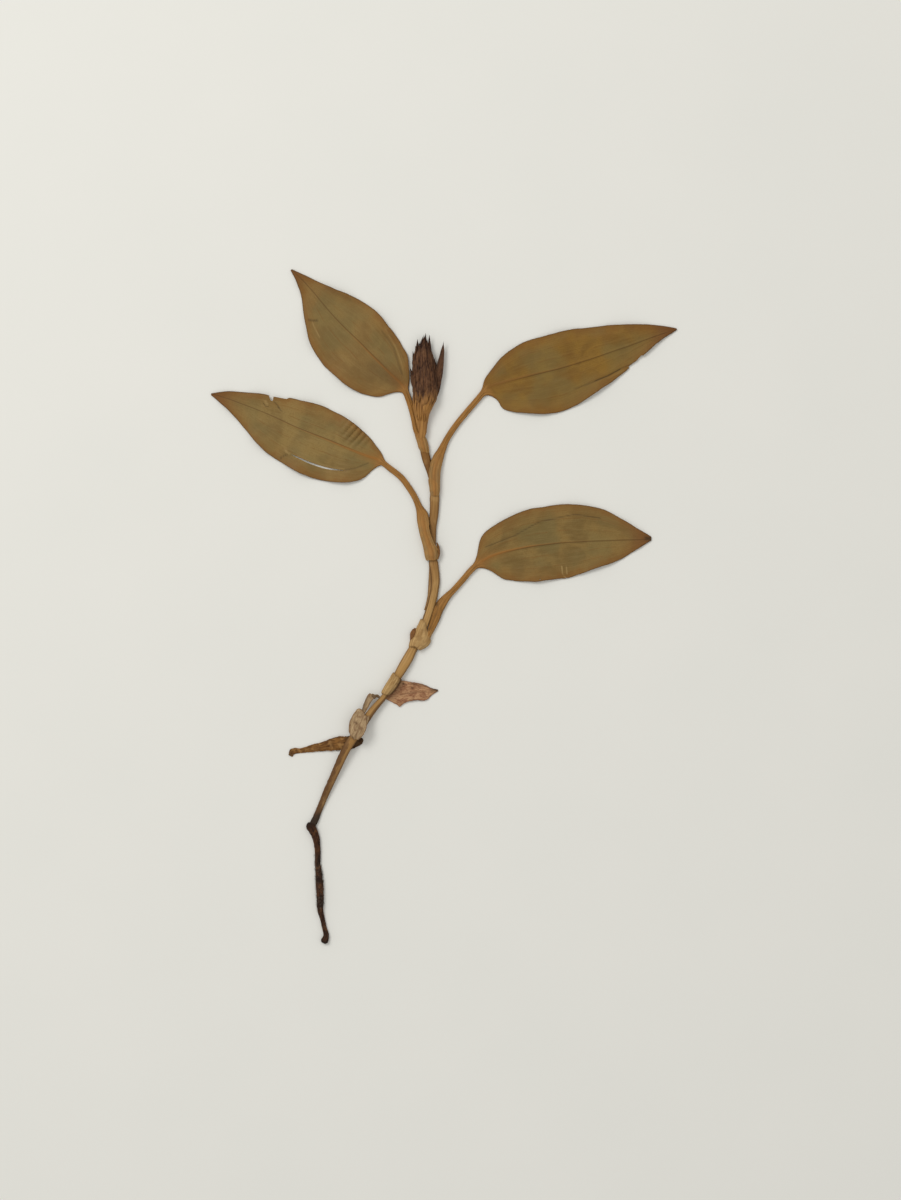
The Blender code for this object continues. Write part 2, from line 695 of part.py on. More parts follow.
def make_leaves(collection, cutters):
    green = material("leaf")
    make_leaf(
        "leaf_upper_left", LEAF_UPPER_LEFT, UPPER_LEFT_BLADE, green, collection,
        crown=2.0, sheath_end=5.5, ripple=(3, 0.9, 0.4),
    )
    leaf_left = make_leaf(
        "leaf_left", LEAF_LEFT, LEFT_BLADE, green, collection,
        crown=2.65, sheath_end=14.0, ripple=(4, 1.1, 2.1), open_right=(2.5, 17.0),
    )
    make_leaf(
        "leaf_upper_right", LEAF_UPPER_RIGHT, UPPER_RIGHT_BLADE, green, collection,
        crown=2.35, sheath_end=12.0, ripple=(3, 0.9, 4.0), open_left=(3.5, 15.0),
    )
    lower_right = make_leaf(
        "leaf_lower_right", LEAF_LOWER_RIGHT, LOWER_RIGHT_BLADE, green, collection,
        crown=1.5, sheath_end=4.0, ripple=(3, 0.8, 1.2),
    )
    cut(leaf_left, slit_cutter(cutters), cutters)
    cut(leaf_left, notch_cutter(cutters), cutters)
    return lower_right


def slit_cutter(cutters):
    """The split along a vein of the left leaf, widest in its middle."""
    route = Route([(x, y, SLIT_WIDTH / 2) for x, y in SLIT])
    bm = bmesh.new()
    bmesh.ops.create_grid(bm, x_segments=SLIT_STEPS, y_segments=1, size=1)
    for vertex in bm.verts:
        share = (vertex.co.x + 1) / 2
        x, y, half = route.at(share * route.length)
        half *= SLIT_TIP + math.sin(math.pi * share)
        plan = np.array([x, y]) + route.sideways(share * route.length) * half * vertex.co.y
        vertex.co = (plan[0], plan[1], CUT_FROM)
    extruded = bmesh.ops.extrude_face_region(bm, geom=bm.faces[:])["geom"]
    lifted = [v for v in extruded if isinstance(v, bmesh.types.BMVert)]
    bmesh.ops.translate(bm, vec=(0, 0, CUT_HEIGHT), verts=lifted)
    bmesh.ops.recalc_face_normals(bm, faces=bm.faces)
    return add_object("slit", bm, None, cutters)


def notch_cutter(cutters):
    """The torn nick in the upper margin of the left leaf."""
    bm = bmesh.new()
    half = NOTCH_WIDTH / 2
    bmesh.ops.create_cone(
        bm, cap_ends=True, segments=NOTCH_CORNERS, radius1=half, radius2=half, depth=CUT_HEIGHT
    )
    bmesh.ops.scale(bm, vec=(1.0, NOTCH_DEPTH / half, 1.0), verts=bm.verts)
    bmesh.ops.translate(bm, vec=(*NOTCH_AT, CUT_FROM + CUT_HEIGHT / 2), verts=bm.verts)
    return add_object("notch", bm, None, cutters)


def make_wrap(name, stations, finish, collection, crown, base, slants):
    """A sheath that lies over the stem: its underside is crown high at the middle and base at its edges.

    slants are how far the right edge runs past the middle at the foot and at the mouth.
    """
    route = Route(stations)
    draw = random.Random(name)
    frays = {s: (draw.uniform(-FRAY, FRAY), draw.uniform(-FRAY, FRAY)) for s in WRAP_SHARES}

    def place(distance, s):
        share = distance / route.length
        foot, mouth = (slants[end] * s + frays[s][end] for end in (0, 1))
        x, y, left, right = route.at(distance)
        reach = (left if s < 0 else right) - OUTWARD_SHARE * SHEATH_WALL
        sideways = route.sideways(distance)
        along = np.array([sideways[1], -sideways[0]]) * (foot * (1 - share) ** 2 + mouth * share ** 2)
        plan = np.array([x, y]) - sideways * reach * math.sin(s * math.pi / 2) + along
        return plan[0], plan[1], base + (crown - base) * arch(s)

    rows_at = [route.length * share for share in evenly(WRAP_ROWS)]
    return sheet(name, rows_at, WRAP_SHARES, place, lambda distance: SHEATH_WALL, finish, collection)


def make_papery_pieces(lower_right, collection):
    straw = material("sheath")
    grey = material("grey_sheath")
    make_wrap("lower_sheath", LOWER_SHEATH, straw, collection, crown=3.2, base=1.15, slants=(0.9, -0.4))
    knuckle = make_wrap(
        "knuckle_sheath", KNUCKLE_SHEATH, grey, collection, crown=4.15, base=1.6, slants=(-1.1, 0.2)
    )
    tongue = make_strip("torn_tongue", TORN_TONGUE, grey, collection, lift=1.9, curl=0.2)
    fuse("knuckle_sheath", [knuckle, tongue])
    collar = make_wrap("collar", COLLAR, straw, collection, crown=2.5, base=FLOOR_CLEARANCE, slants=(0.5, -2.6))
    settle(lower_right)
    fuse("leaf_lower_right", [lower_right, collar])
    make_strip("scale_leaf", SCALE_LEAF, material("scale_leaf"), collection, lift=0.0, curl=0.28)


def make_strip(name, stations, finish, collection, lift, curl, rows=STRIP_ROWS):
    """A small flat papery piece: it lies at a height and its margins curl up a little."""
    route = Route(stations)

    def place(distance, s):
        x, y, left, right = route.at(distance)
        plan = np.array([x, y]) - route.sideways(distance) * (left if s < 0 else right) * s
        share = distance / route.length
        ripple = STRIP_RIPPLE * math.sin(STRIP_RIPPLE_TURNS * share + STRIP_RIPPLE_SLANT * s)
        wave = curl * math.sin(math.pi * share) * (s * s + ripple * abs(s))
        return plan[0], plan[1], lift + STRIP_GAP + max(wave, 0.0)

    rows_at = [route.length * share for share in evenly(rows)]
    return sheet(name, rows_at, STRIP_SHARES, place, lambda distance: BLADE, finish, collection)


def make_bract(name, layer, foot, tip, half_width, finish, collection):
    """A long pointed scale of the pressed head, keeled along its middle."""

    def place(u, s):
        arch_share = BRACT_CUT + (1 - BRACT_CUT) * u
        width = half_width * math.sin(math.pi * arch_share) ** BRACT_POINT + BRACT_TIP
        x = foot[0] + (tip[0] - foot[0]) * u + width * s
        y = foot[1] + (tip[1] - foot[1]) * u
        spread = 0.5 + 0.5 * math.sin(math.pi * min(u + SPREAD_LEAD, 1.0))
        keel = BRACT_KEEL * (1 - abs(s)) * math.sin(math.pi * min(u + KEEL_LEAD, 1.0))
        return x, y, HEAD_MIDDLE + (layer - HEAD_MIDDLE) * spread - BRACT_WALL / 2 + keel

    return sheet(name, evenly(BRACT_ROWS), BRACT_SHARES, place, lambda u: BRACT_WALL, finish, collection)


def round_section(route, middle, ribs=0, depth=0.0):
    """place() for a flattened closed form whose stations hold its half width and half thickness."""

    def place(u, turn):
        x, y, half, thick = route.at(u * route.length)
        rib = 1 + depth * math.cos(ribs * turn)
        return x + half * rib * math.cos(turn), y, middle + thick * rib * math.sin(turn)

    return place


def make_flower(collection):
    purple = material("bract")
    core = round_section(Route(HEAD_CORE), HEAD_MIDDLE)
    pieces = [tube("core", CORE_RINGS, CORE_SIDES, core, purple, collection)]
    for row, (layer, bracts) in enumerate(BRACT_LAYERS):
        for k, (foot_x, tip_x, tip_y, half_width) in enumerate(bracts):
            foot = (foot_x, BRACT_FOOT + BRACT_STEP * ((row + k) % 2))
            tip = (tip_x, tip_y)
            pieces.append(make_bract(f"bract_{row}_{k}", layer, foot, tip, half_width, purple, collection))
    pieces.append(make_strip(
        "stray_bract", STRAY_BRACT, purple, collection,
        lift=STRAY_BRACT_HEIGHT, curl=STRAY_BRACT_CURL, rows=STRAY_BRACT_ROWS,
    ))
    fuse("flower_bracts", pieces)
    cup = round_section(Route(FLOWER_CUP), CUP_MIDDLE, CUP_RIBS, CUP_RIB_DEPTH)
    tube("flower_cup", CUP_RINGS, CUP_SIDES, cup, material("flower_cup"), collection)


def main():
    for old in list(bpy.data.objects):
        bpy.data.objects.remove(old)
    orchid = bpy.data.collections.new("jewel orchid")
    cutters = bpy.data.collections.new("cutters")
    bpy.context.scene.collection.children.link(orchid)
    bpy.context.scene.collection.children.link(cutters)
    make_stem(orchid)
    make_roots(orchid)
    lower_right = make_leaves(orchid, cutters)
    make_papery_pieces(lower_right, orchid)
    make_flower(orchid)


main()
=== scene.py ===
"""Looks of a pressed, dried jewel orchid lying flat on a pale surface, seen from straight above.

Every solid of the frame is replaced by a finer piece of the same form: leaves with veins, cockled blades
and torn margins, a striate stem, papery sheaths, a head of keeled bracts, and roots with root hairs.
Lengths are in millimetres, in the frame's axes, and are turned into metres where a mesh is made.
"""

import math
import random

import bpy
import numpy as np
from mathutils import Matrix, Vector, noise
from mathutils.kdtree import KDTree


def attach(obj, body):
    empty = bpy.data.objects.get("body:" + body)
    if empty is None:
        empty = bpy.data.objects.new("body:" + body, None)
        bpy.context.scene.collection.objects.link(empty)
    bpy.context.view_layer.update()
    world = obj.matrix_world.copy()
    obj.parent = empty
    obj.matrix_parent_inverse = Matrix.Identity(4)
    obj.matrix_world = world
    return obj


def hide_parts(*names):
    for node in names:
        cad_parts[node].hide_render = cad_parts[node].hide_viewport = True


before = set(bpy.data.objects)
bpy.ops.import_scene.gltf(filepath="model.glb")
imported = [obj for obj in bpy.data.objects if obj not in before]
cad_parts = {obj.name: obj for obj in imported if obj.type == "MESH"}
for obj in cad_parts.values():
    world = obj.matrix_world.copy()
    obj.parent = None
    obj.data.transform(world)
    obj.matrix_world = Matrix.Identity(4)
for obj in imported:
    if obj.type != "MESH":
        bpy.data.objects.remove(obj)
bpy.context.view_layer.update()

MM = 0.001
UP = np.array([0, 0, 1.0])

# The camera looks straight down on a field of this height, centred here
FIELD_HEIGHT = 439.6
FIELD_CENTRE = (2.4, 2.2)
CAMERA_HEIGHT = 1200.0
SENSOR = 36.0

# Half the floor's side, the world's light, and the lamp's width, power and place: metres and watts
FLOOR_HALF = 6.0
WORLD_STRENGTH = 0.67
LAMP_WIDTH = 0.7
LAMP_POWER = 9.7
LAMP_PLACE = (-0.75, 0.75, 1.1)

TURN_SPAN = 1.8  # a route's direction is read over this much of it on both sides
FLOOR_CLEARANCE = 0.25  # how far the clasping edges stay above the surface
STALK_HEIGHT = 0.45  # underside of a free stalk along its middle
BLADE_HEIGHT = 0.16  # underside of a blade before its waves
SHEATH_WALL = 0.6
SHEATH_SKIN = 0.45  # the visible sheath is a little thinner than the space that it stands in
PETIOLE_WALL = 0.95
OUTWARD_SHARE = 0.8  # of a clasping wall's thickness, how much lies sideways of its inner face at the edge
BLADE_SKIN = 0.36
LEAST_REACH = 0.25  # of a leaf to either side of its midrib
PRESS_SINK = 0.86  # middle of a pressed section above its flat underside, in halves of its thickness
NEVER = (1e3, 1e3)  # a stretch past the end of every leaf
EDGE_PLACES = (-1.0, -0.5, 0.0, 0.5, 1.0)  # shares of a sheath's width at which its torn ends are given

# How finely the pieces are divided: millimetres between rows, and points across
STALK_STEP = 0.55
BLADE_STEP = 0.42
PAPER_STEP = 0.22
LEAF_COLUMNS = 73
WRAP_COLUMNS = 61
STRIP_COLUMNS = 41
BRACT_ROWS = 34
BRACT_COLUMNS = 11
SHARP_ANGLE = 55  # in degrees, from which an edge is shaded sharp
CUTTER_HEIGHTS = (-3, 8)  # the underside and the top of what cuts a leaf

# Veins of a half blade: places of the long ones, and waves of the fine ones across it
LONG_VEINS = (0.31, 0.63)
FINE_VEINS = 110.0
SHEATH_RIBS = 17.0
MARGIN_SHIFT = 1.9  # in radians, how far the left margin's waves are ahead of the right margin's

# Stem stations: x, y, half width, lift of the underside
STEM = [
    (-8.1, 61.5, 0.7, 0.0),
    (-7.8, 59.0, 0.9, 0.0),
    (-7.2, 57.0, 1.5, 0.0),
    (-6.8, 55.3, 1.6, 0.0),
    (-6.3, 53.3, 1.55, 0.0),
    (-5.5, 50.8, 1.4, 0.0),
    (-4.8, 48.3, 1.25, 0.0),
    (-3.9, 45.0, 1.3, 0.0),
    (-3.4, 40.9, 1.7, 0.0),
    (-3.4, 39.0, 1.75, 0.0),
    (-3.6, 34.1, 1.65, 0.0),
    (-4.2, 28.5, 1.45, 0.0),
    (-4.3, 24.0, 1.4, 0.0),
    (-4.1, 18.0, 1.4, 0.0),
    (-3.8, 15.3, 1.7, 0.0),
    (-3.2, 9.5, 1.7, 0.0),
    (-3.5, 5.9, 1.6, 0.0),
    (-4.25, 2.2, 1.55, 0.0),
    (-5.3, -1.5, 1.5, 0.0),
    (-6.5, -5.1, 1.45, 0.0),
    (-7.9, -8.8, 1.4, 0.0),
    (-9.7, -12.45, 1.4, 0.0),
    (-11.4, -15.8, 1.6, 0.1),
    (-13.4, -19.6, 1.85, 0.3),
    (-15.6, -23.3, 1.75, 0.6),
    (-18.3, -27.9, 1.4, 1.05),
    (-21.9, -33.2, 1.1, 1.15),
    (-25.5, -37.4, 1.25, 1.3),
    (-29.3, -42.5, 1.5, 1.65),
    (-33.2, -48.4, 1.6, 1.75),
    (-35.9, -52.7, 1.55, 1.65),
    (-38.5, -58.2, 1.45, 1.2),
    (-41.0, -63.7, 1.35, 0.7),
    (-43.6, -69.6, 1.2, 0.3),
    (-45.6, -74.4, 1.15, 0.0),
    (-47.4, -78.7, 1.3, 0.0),
    (-48.6, -80.9, 1.2, 0.0),
]
STEM_FLATNESS = 1.12
STEM_LENGTH = 157.0
STEM_JOINTS = [23.0, 47.6, 77.0, 97.0, 116.5]
# Colours along the stem: share of its length, then red, green and blue on the screen, 0 to 255
STEM_COLOURS = [
    (0.0, (158, 124, 76)),
    (0.035, (128, 88, 42)),
    (0.07, (122, 84, 42)),
    (0.15, (150, 112, 62)),
    (0.22, (140, 102, 57)),
    (0.28, (148, 109, 61)),
    (0.33, (158, 120, 70)),
    (0.38, (172, 134, 80)),
    (0.45, (180, 141, 87)),
    (0.52, (176, 136, 80)),
    (0.75, (164, 124, 70)),
    (0.84, (140, 104, 60)),
    (0.93, (104, 76, 46)),
    (0.975, (60, 44, 31)),
    (1.0, (42, 32, 26)),
]

TAP_ROOT = [
    (-49.9, -79.5, 0.5, 0.0),
    (-49.5, -80.0, 1.2, 0.0),
    (-48.7, -80.9, 1.7, 0.0),
    (-47.3, -83.5, 1.45, 0.0),
    (-46.3, -88.6, 1.15, 0.0),
    (-46.2, -94.1, 1.0, 0.0),
    (-45.8, -97.4, 1.15, 0.0),
    (-45.5, -102.2, 1.35, 0.0),
    (-45.3, -107.3, 1.3, 0.0),
    (-45.2, -111.7, 1.1, 0.0),
    (-44.5, -114.6, 0.9, 0.0),
    (-43.8, -117.8, 0.85, 0.0),
    (-43.1, -120.6, 1.05, 0.0),
    (-43.7, -122.6, 1.35, 0.0),
    (-44.1, -123.4, 0.9, 0.0),
]
SIDE_ROOT = [
    (-56.3, -54.9, 0.75, 0.0),
    (-55.6, -53.4, 1.2, 0.0),
    (-52.7, -53.0, 0.9, 0.0),
    (-48.4, -52.2, 1.35, 0.0),
    (-43.6, -51.3, 1.85, 0.0),
    (-38.8, -50.4, 2.45, 0.0),
    (-34.4, -50.0, 2.5, 0.0),
    (-31.2, -49.5, 1.6, 0.0),
    (-30.1, -49.0, 1.0, 0.0),
    (-29.6, -48.8, 0.3, 0.0),
]
TAP_ROOT_FLATNESS = 1.45
SIDE_ROOT_FLATNESS = 0.55
HAIRS = 300
HAIR_SEED = 11
HAIR_LENGTH = 0.85
HAIR_WIDTH = 0.04

# Leaf stations from the foot of the sheath to the tip: x, y of the midrib, then the reach to its left and
# right. From the blade's start they are a twelfth of the blade apart.
LEAF_UPPER_LEFT = [
    (-7.1, 56.5, 1.8, 2.0),
    (-7.7, 59.0, 2.0, 2.1),
    (-8.2, 60.8, 2.0, 2.0),
    (-8.9, 62.4, 1.8, 1.6),
    (-10.0, 64.0, 1.1, 0.9),
    (-10.9, 68.1, 1.0, 0.95),
    (-11.8, 71.8, 1.05, 1.05),
    (-12.9, 75.5, 1.15, 1.15),
    (-14.1, 78.6, 1.5, 1.5),
    (-15.7, 81.3, 6.2, 4.0),
    (-19.0, 84.5, 10.6, 8.6),
    (-22.5, 87.9, 13.2, 10.3),
    (-25.9, 91.3, 14.5, 11.4),
    (-29.4, 94.8, 14.9, 12.0),
    (-32.8, 98.2, 15.1, 12.5),
    (-36.3, 101.5, 14.3, 12.1),
    (-39.7, 105.0, 12.8, 11.0),
    (-42.9, 108.6, 10.0, 9.1),
    (-46.0, 112.3, 7.1, 6.6),
    (-49.1, 116.0, 4.1, 4.1),
    (-52.4, 119.6, 2.0, 2.1),
    (-55.9, 123.1, 0.3, 0.3),
]
LEAF_LEFT = [
    (-4.1, 17.0, 3.0, 2.6),
    (-4.5, 20.1, 3.0, 2.6),
    (-5.3, 22.8, 2.75, 2.2),
    (-6.6, 26.5, 2.45, 2.1),
    (-7.5, 30.8, 2.4, 2.4),
    (-8.1, 33.6, 2.1, 2.3),
    (-9.1, 36.2, 1.45, 1.4),
    (-10.7, 39.9, 1.1, 1.1),
    (-12.4, 42.7, 1.1, 1.1),
    (-15.7, 47.1, 1.1, 1.1),
    (-20.3, 50.8, 1.0, 1.0),
    (-22.4, 52.5, 1.4, 1.4),
    (-24.2, 53.6, 4.2, 3.0),
    (-28.3, 55.0, 9.6, 6.0),
    (-33.5, 57.0, 12.7, 8.3),
    (-38.6, 59.1, 14.3, 9.9),
    (-43.8, 61.2, 15.0, 10.6),
    (-49.0, 63.2, 14.8, 11.0),
    (-54.2, 65.3, 13.8, 10.3),
    (-59.2, 67.6, 12.9, 9.2),
    (-64.3, 69.9, 11.1, 7.4),
    (-69.5, 72.0, 8.2, 6.2),
    (-74.7, 74.0, 5.2, 4.5),
    (-79.9, 75.9, 2.7, 2.9),
    (-85.2, 77.6, 0.35, 0.35),
]
LEAF_UPPER_RIGHT = [
    (-3.35, 40.9, 2.0, 2.0),
    (-3.4, 43.5, 2.1, 2.1),
    (-3.6, 46.2, 2.4, 2.4),
    (-3.4, 49.8, 2.45, 2.45),
    (-2.4, 53.5, 2.2, 2.2),
    (-0.8, 57.1, 1.65, 1.65),
    (0.9, 60.8, 1.15, 1.15),
    (3.2, 64.5, 1.05, 1.05),
    (5.9, 68.1, 0.95, 0.95),
    (9.0, 71.8, 0.95, 0.95),
    (12.2, 75.5, 1.0, 1.0),
    (14.8, 78.6, 1.5, 2.2),
    (16.9, 80.4, 3.6, 6.9),
    (21.4, 81.8, 7.7, 10.9),
    (27.3, 83.4, 10.8, 13.3),
    (33.1, 84.9, 12.4, 15.1),
    (39.0, 86.3, 12.7, 15.6),
    (44.9, 87.9, 12.7, 14.7),
    (50.7, 89.7, 12.2, 12.9),
    (56.5, 91.6, 10.9, 11.1),
    (62.2, 93.6, 9.6, 9.2),
    (68.0, 95.6, 7.9, 6.8),
    (73.7, 97.7, 5.8, 4.3),
    (79.4, 99.7, 3.2, 2.1),
    (85.2, 101.4, 0.3, 0.3),
]
LEAF_LOWER_RIGHT = [
    (-7.0, -13.2, 0.9, 1.3),
    (-5.7, -10.6, 1.0, 1.2),
    (-4.4, -8.2, 1.6, 1.15),
    (-3.0, -5.1, 2.1, 1.45),
    (-1.7, -1.5, 2.4, 1.6),
    (-0.5, 1.0, 2.2, 1.75),
    (0.9, 3.1, 1.6, 1.55),
    (3.6, 5.9, 1.05, 1.05),
    (6.8, 9.5, 1.0, 1.0),
    (10.0, 13.2, 1.1, 1.1),
    (12.0, 15.0, 1.6, 1.6),
    (13.9, 16.4, 3.3, 3.7),
    (17.2, 18.2, 8.1, 8.3),
    (22.4, 19.9, 10.7, 11.0),
    (27.6, 21.1, 12.3, 12.4),
    (32.9, 22.1, 13.4, 13.3),
    (38.2, 22.8, 13.6, 13.2),
    (43.6, 23.4, 13.8, 13.3),
    (49.0, 23.7, 13.5, 12.1),
    (54.3, 24.0, 12.5, 10.5),
    (59.7, 24.2, 10.8, 9.0),
    (65.1, 24.4, 7.6, 7.0),
    (70.5, 24.5, 4.2, 3.8),
    (75.9, 24.6, 0.8, 0.6),
]

# Strokes on the leaves: points, width, stain and painted light (above 0 dark, below 0 pale; a few pale ones
# are painted highlight and painted light) and height
UPPER_LEFT_STROKES = [
    ([(-26.0, 87.0), (-20.5, 84.2), (-17.5, 83.0)], 3.6, 0.34, 0.0),
    ([(-49.4, 104.7), (-48.0, 104.4), (-46.4, 104.5)], 0.3, 0.7, -0.1),
    ([(-48.1, 103.8), (-46.9, 101.0), (-45.5, 98.2)], 0.22, -0.5, 0.1),
    ([(-42.5, 116.3), (-38.5, 114.4), (-34.6, 112.3)], 1.0, 0.22, 0.0),
    ([(-22.7, 101.1), (-18.6, 94.6), (-15.4, 84.8)], 0.25, 0.3, 0.25),
    ([(-21.6, 101.4), (-17.6, 94.8), (-14.8, 87.0)], 0.2, -0.35, 0.2),
    ([(-20.6, 101.2), (-16.6, 94.6), (-14.2, 89.0)], 0.2, 0.2, 0.15),
]
LEFT_STROKES = [
    ([(-62.2, 74.8), (-60.8, 73.4), (-60.3, 72.6)], 0.22, 0.5, 0.0),
    ([(-60.9, 73.0), (-59.5, 71.4)], 0.16, 0.6, 0.0),
    ([(-65.3, 74.9), (-64.6, 73.8)], 0.45, -0.45, 0.25),
    ([(-66.1, 74.6), (-65.4, 73.2), (-64.2, 73.0)], 0.16, 0.7, 0.0),
    # Painted highlight: a pale stroke on the raised pucker
    ([(-58.0, 56.9), (-56.8, 55.6)], 0.45, -0.5, 0.3),
    ([(-60.1, 53.8), (-58.8, 54.9), (-57.3, 55.5)], 0.22, 0.6, -0.1),
    ([(-37.0, 49.6), (-32.5, 50.4), (-27.6, 52.4)], 0.2, 0.5, -0.1),
    ([(-56.1, 55.6), (-48.5, 52.2), (-42.6, 50.4), (-36.8, 49.6)], 1.3, 0.0, -0.3),
    # Painted light: a pale line along the slit that stands for the bright paper seen through the split
    ([(-56.4, 56.1), (-48.5, 52.8), (-42.5, 51.0), (-36.6, 50.2)], 0.3, -0.35, 0.0),
]
UPPER_RIGHT_STROKES = [
    ([(48.0, 79.5), (54.2, 81.8), (60.2, 84.2), (65.9, 87.5)], 0.3, 0.4, -0.12),
    ([(55.4, 82.4), (60.0, 84.3), (64.4, 86.7)], 0.28, 0.6, -0.15),
    ([(66.5, 87.6), (69.0, 88.9), (71.4, 90.3)], 0.18, 0.5, 0.1),
    ([(60.0, 83.2), (66.2, 86.4)], 0.2, -0.3, 0.15),
]
LOWER_RIGHT_STROKES = [
    ([(-2.8, 1.4), (-2.4, 0.4)], 0.5, 0.65, 0.0),
    ([(-5.4, -9.4), (-3.4, -4.6), (-2.0, -0.5)], 0.2, 0.45, 0.0),
    ([(-4.2, -9.8), (-2.2, -5.0), (-0.9, -1.2)], 0.18, 0.4, 0.0),
    ([(15.2, 21.6), (25.5, 25.6), (34.8, 30.8), (47.9, 33.6), (57.1, 32.2)], 0.18, 0.6, 0.0),
    ([(43.1, 14.7), (43.5, 11.6), (44.4, 10.4)], 0.11, -0.7, 0.1),
    ([(44.8, 14.3), (45.0, 11.8)], 0.1, -0.7, 0.1),
    ([(74.2, 24.8), (76.5, 24.6)], 0.9, 0.8, 0.0),
]
SLIT = [(-56.1, 55.6), (-48.5, 52.2), (-42.6, 50.4), (-36.8, 49.6)]
SLIT_WIDTH = 0.62
NOTCH = [
    (-65.5, 81.0), (-65.3, 77.5), (-64.0, 77.1), (-63.8, 76.0), (-63.4, 75.2), (-62.9, 74.9), (-62.5, 75.6),
    (-62.4, 76.6), (-61.5, 76.5), (-59.5, 76.1), (-57.6, 75.8), (-56.6, 76.3), (-56.0, 78.5),
]
TORN_STEP = [
    (67.8, 84.0), (67.7, 87.9), (68.7, 88.5), (70.3, 89.6), (72.2, 91.7), (75.0, 91.7), (72.0, 87.0),
    (69.5, 84.0),
]
MARGIN_NICKS = [
    [(44.5, 10.3), (45.5, 10.2), (45.0, 9.4)],
    [(34.9, 9.9), (35.4, 9.8), (35.2, 9.4)],
]

# Papery pieces on the lower joints: x, y, reach to the left and right
SCALE_LEAF = [
    (-21.6, -33.2, 1.4, 0.9),
    (-20.3, -32.9, 2.4, 1.9),
    (-18.3, -32.6, 4.0, 3.3),
    (-16.7, -32.4, 4.9, 4.4),
    (-14.9, -32.2, 4.9, 3.4),
    (-11.7, -31.7, 4.0, 3.0),
    (-7.0, -31.1, 2.3, 3.5),
    (-4.4, -31.0, 0.9, 1.6),
    (-2.2, -30.9, 0.3, 0.3),
]
LOWER_SHEATH = [
    (-21.6, -32.9, 1.9, 1.8),
    (-20.3, -30.9, 2.1, 2.05),
    (-18.3, -27.9, 2.2, 2.2),
    (-17.0, -25.6, 2.2, 2.3),
]
KNUCKLE_SHEATH = [
    (-33.8, -48.4, 2.2, 1.6),
    (-32.7, -46.4, 3.0, 2.3),
    (-30.9, -43.8, 4.0, 2.3),
    (-28.9, -40.9, 4.3, 2.0),
    (-27.6, -39.0, 4.2, 1.5),
]
COLLAR = [
    (-11.2, -15.6, 2.0, 2.5),
    (-10.0, -13.2, 2.5, 4.1),
    (-8.8, -10.6, 2.3, 4.7),
    (-7.9, -8.2, 2.2, 3.6),
    (-7.2, -6.2, 2.2, 2.6),
]
TORN_TONGUE = [
    (-30.6, -40.9, 0.7, 0.6),
    (-29.4, -38.6, 0.8, 0.75),
    (-28.4, -36.4, 1.1, 0.95),
    (-27.6, -34.6, 1.2, 1.1),
    (-26.9, -33.3, 1.25, 1.35),
    (-26.4, -32.2, 0.8, 1.5),
]
LEFT_FLAP = [
    (-31.4, -38.7, 0.5, 0.6),
    (-32.3, -40.6, 1.5, 1.2),
    (-33.1, -43.0, 1.5, 1.5),
    (-33.4, -45.6, 1.3, 1.3),
    (-33.2, -48.0, 0.6, 0.7),
]
RIGHT_FLAP = [
    (-29.0, -40.4, 0.7, 0.7),
    (-29.3, -42.4, 1.3, 1.1),
    (-30.1, -44.9, 1.6, 1.2),
    (-31.1, -47.2, 1.3, 1.0),
    (-31.7, -48.7, 0.5, 0.5),
]
STEM_FILM = [
    (-5.1, 14.2, 0.1, 0.3),
    (-5.3, 10.3, 0.5, 0.3),
    (-5.5, 6.6, 0.8, 0.3),
    (-5.8, 3.3, 0.6, 0.3),
    (-6.4, 0.5, 0.4, 0.3),
    (-7.0, -1.5, 0.1, 0.3),
]
LEAF_FLAP = [
    (-2.6, 23.2, 0.25, 0.2),
    (-2.1, 21.4, 0.5, 0.4),
    (-1.9, 19.4, 0.5, 0.45),
    (-2.2, 17.4, 0.3, 0.3),
]

# Small closed forms: x, y, half width, lift of the underside
COLLAR_BUD = [
    (-11.9, -12.9, 0.4, 0.0),
    (-11.5, -11.8, 1.0, 0.0),
    (-11.2, -10.2, 1.15, 0.0),
    (-10.8, -8.8, 0.75, 0.0),
    (-10.4, -8.1, 0.3, 0.0),
]
TONGUE_KNOB = [
    (-26.9, -32.9, 0.3, 0.0),
    (-26.2, -32.8, 0.75, 0.0),
    (-25.3, -33.2, 0.8, 0.0),
    (-24.5, -32.9, 0.6, 0.0),
    (-23.5, -33.5, 0.5, 0.0),
]

# Dark strokes on the papery pieces: points, width and stain
COLLAR_STROKES = [
    ([(-9.2, -4.8), (-8.3, -4.6)], 0.5, 0.5),
    ([(-10.2, -7.2), (-9.9, -5.4)], 0.4, 0.4),
]
LOWER_SHEATH_STROKES = [
    ([(-15.9, -26.6), (-17.4, -29.6), (-19.8, -32.2), (-22.0, -35.4)], 0.42, 0.9),
    ([(-17.4, -28.0), (-19.6, -31.0), (-22.0, -33.9)], 0.13, 0.5),
]
KNUCKLE_STROKES = [
    ([(-32.2, -42.5), (-31.9, -42.8)], 0.35, 0.7),
    ([(-31.6, -46.9), (-31.3, -47.2)], 0.35, 0.7),
    ([(-35.6, -46.6), (-34.8, -43.2), (-33.4, -39.8)], 0.7, 0.3),
    ([(-29.9, -46.2), (-28.6, -42.6)], 0.25, 0.35),
]
TONGUE_STROKES = [([(-31.2, -40.4), (-29.3, -36.2), (-28.2, -33.4)], 0.5, 0.5)]
SCALE_LEAF_STROKES = [
    ([(-15.0, -28.4), (-14.7, -28.6)], 0.3, 0.9),
    ([(-11.8, -30.0), (-11.5, -30.1)], 0.3, 0.9),
    ([(-12.0, -28.4), (-7.5, -28.9), (-2.6, -30.7)], 0.35, 0.5),
    ([(-15.9, -32.5), (-11.0, -31.6), (-6.5, -31.4)], 0.25, 0.35),
    ([(-4.4, -30.9), (-2.2, -30.9)], 0.8, 0.6),
    ([(-8.8, -34.4), (-12.5, -34.3)], 0.3, 0.4),
]

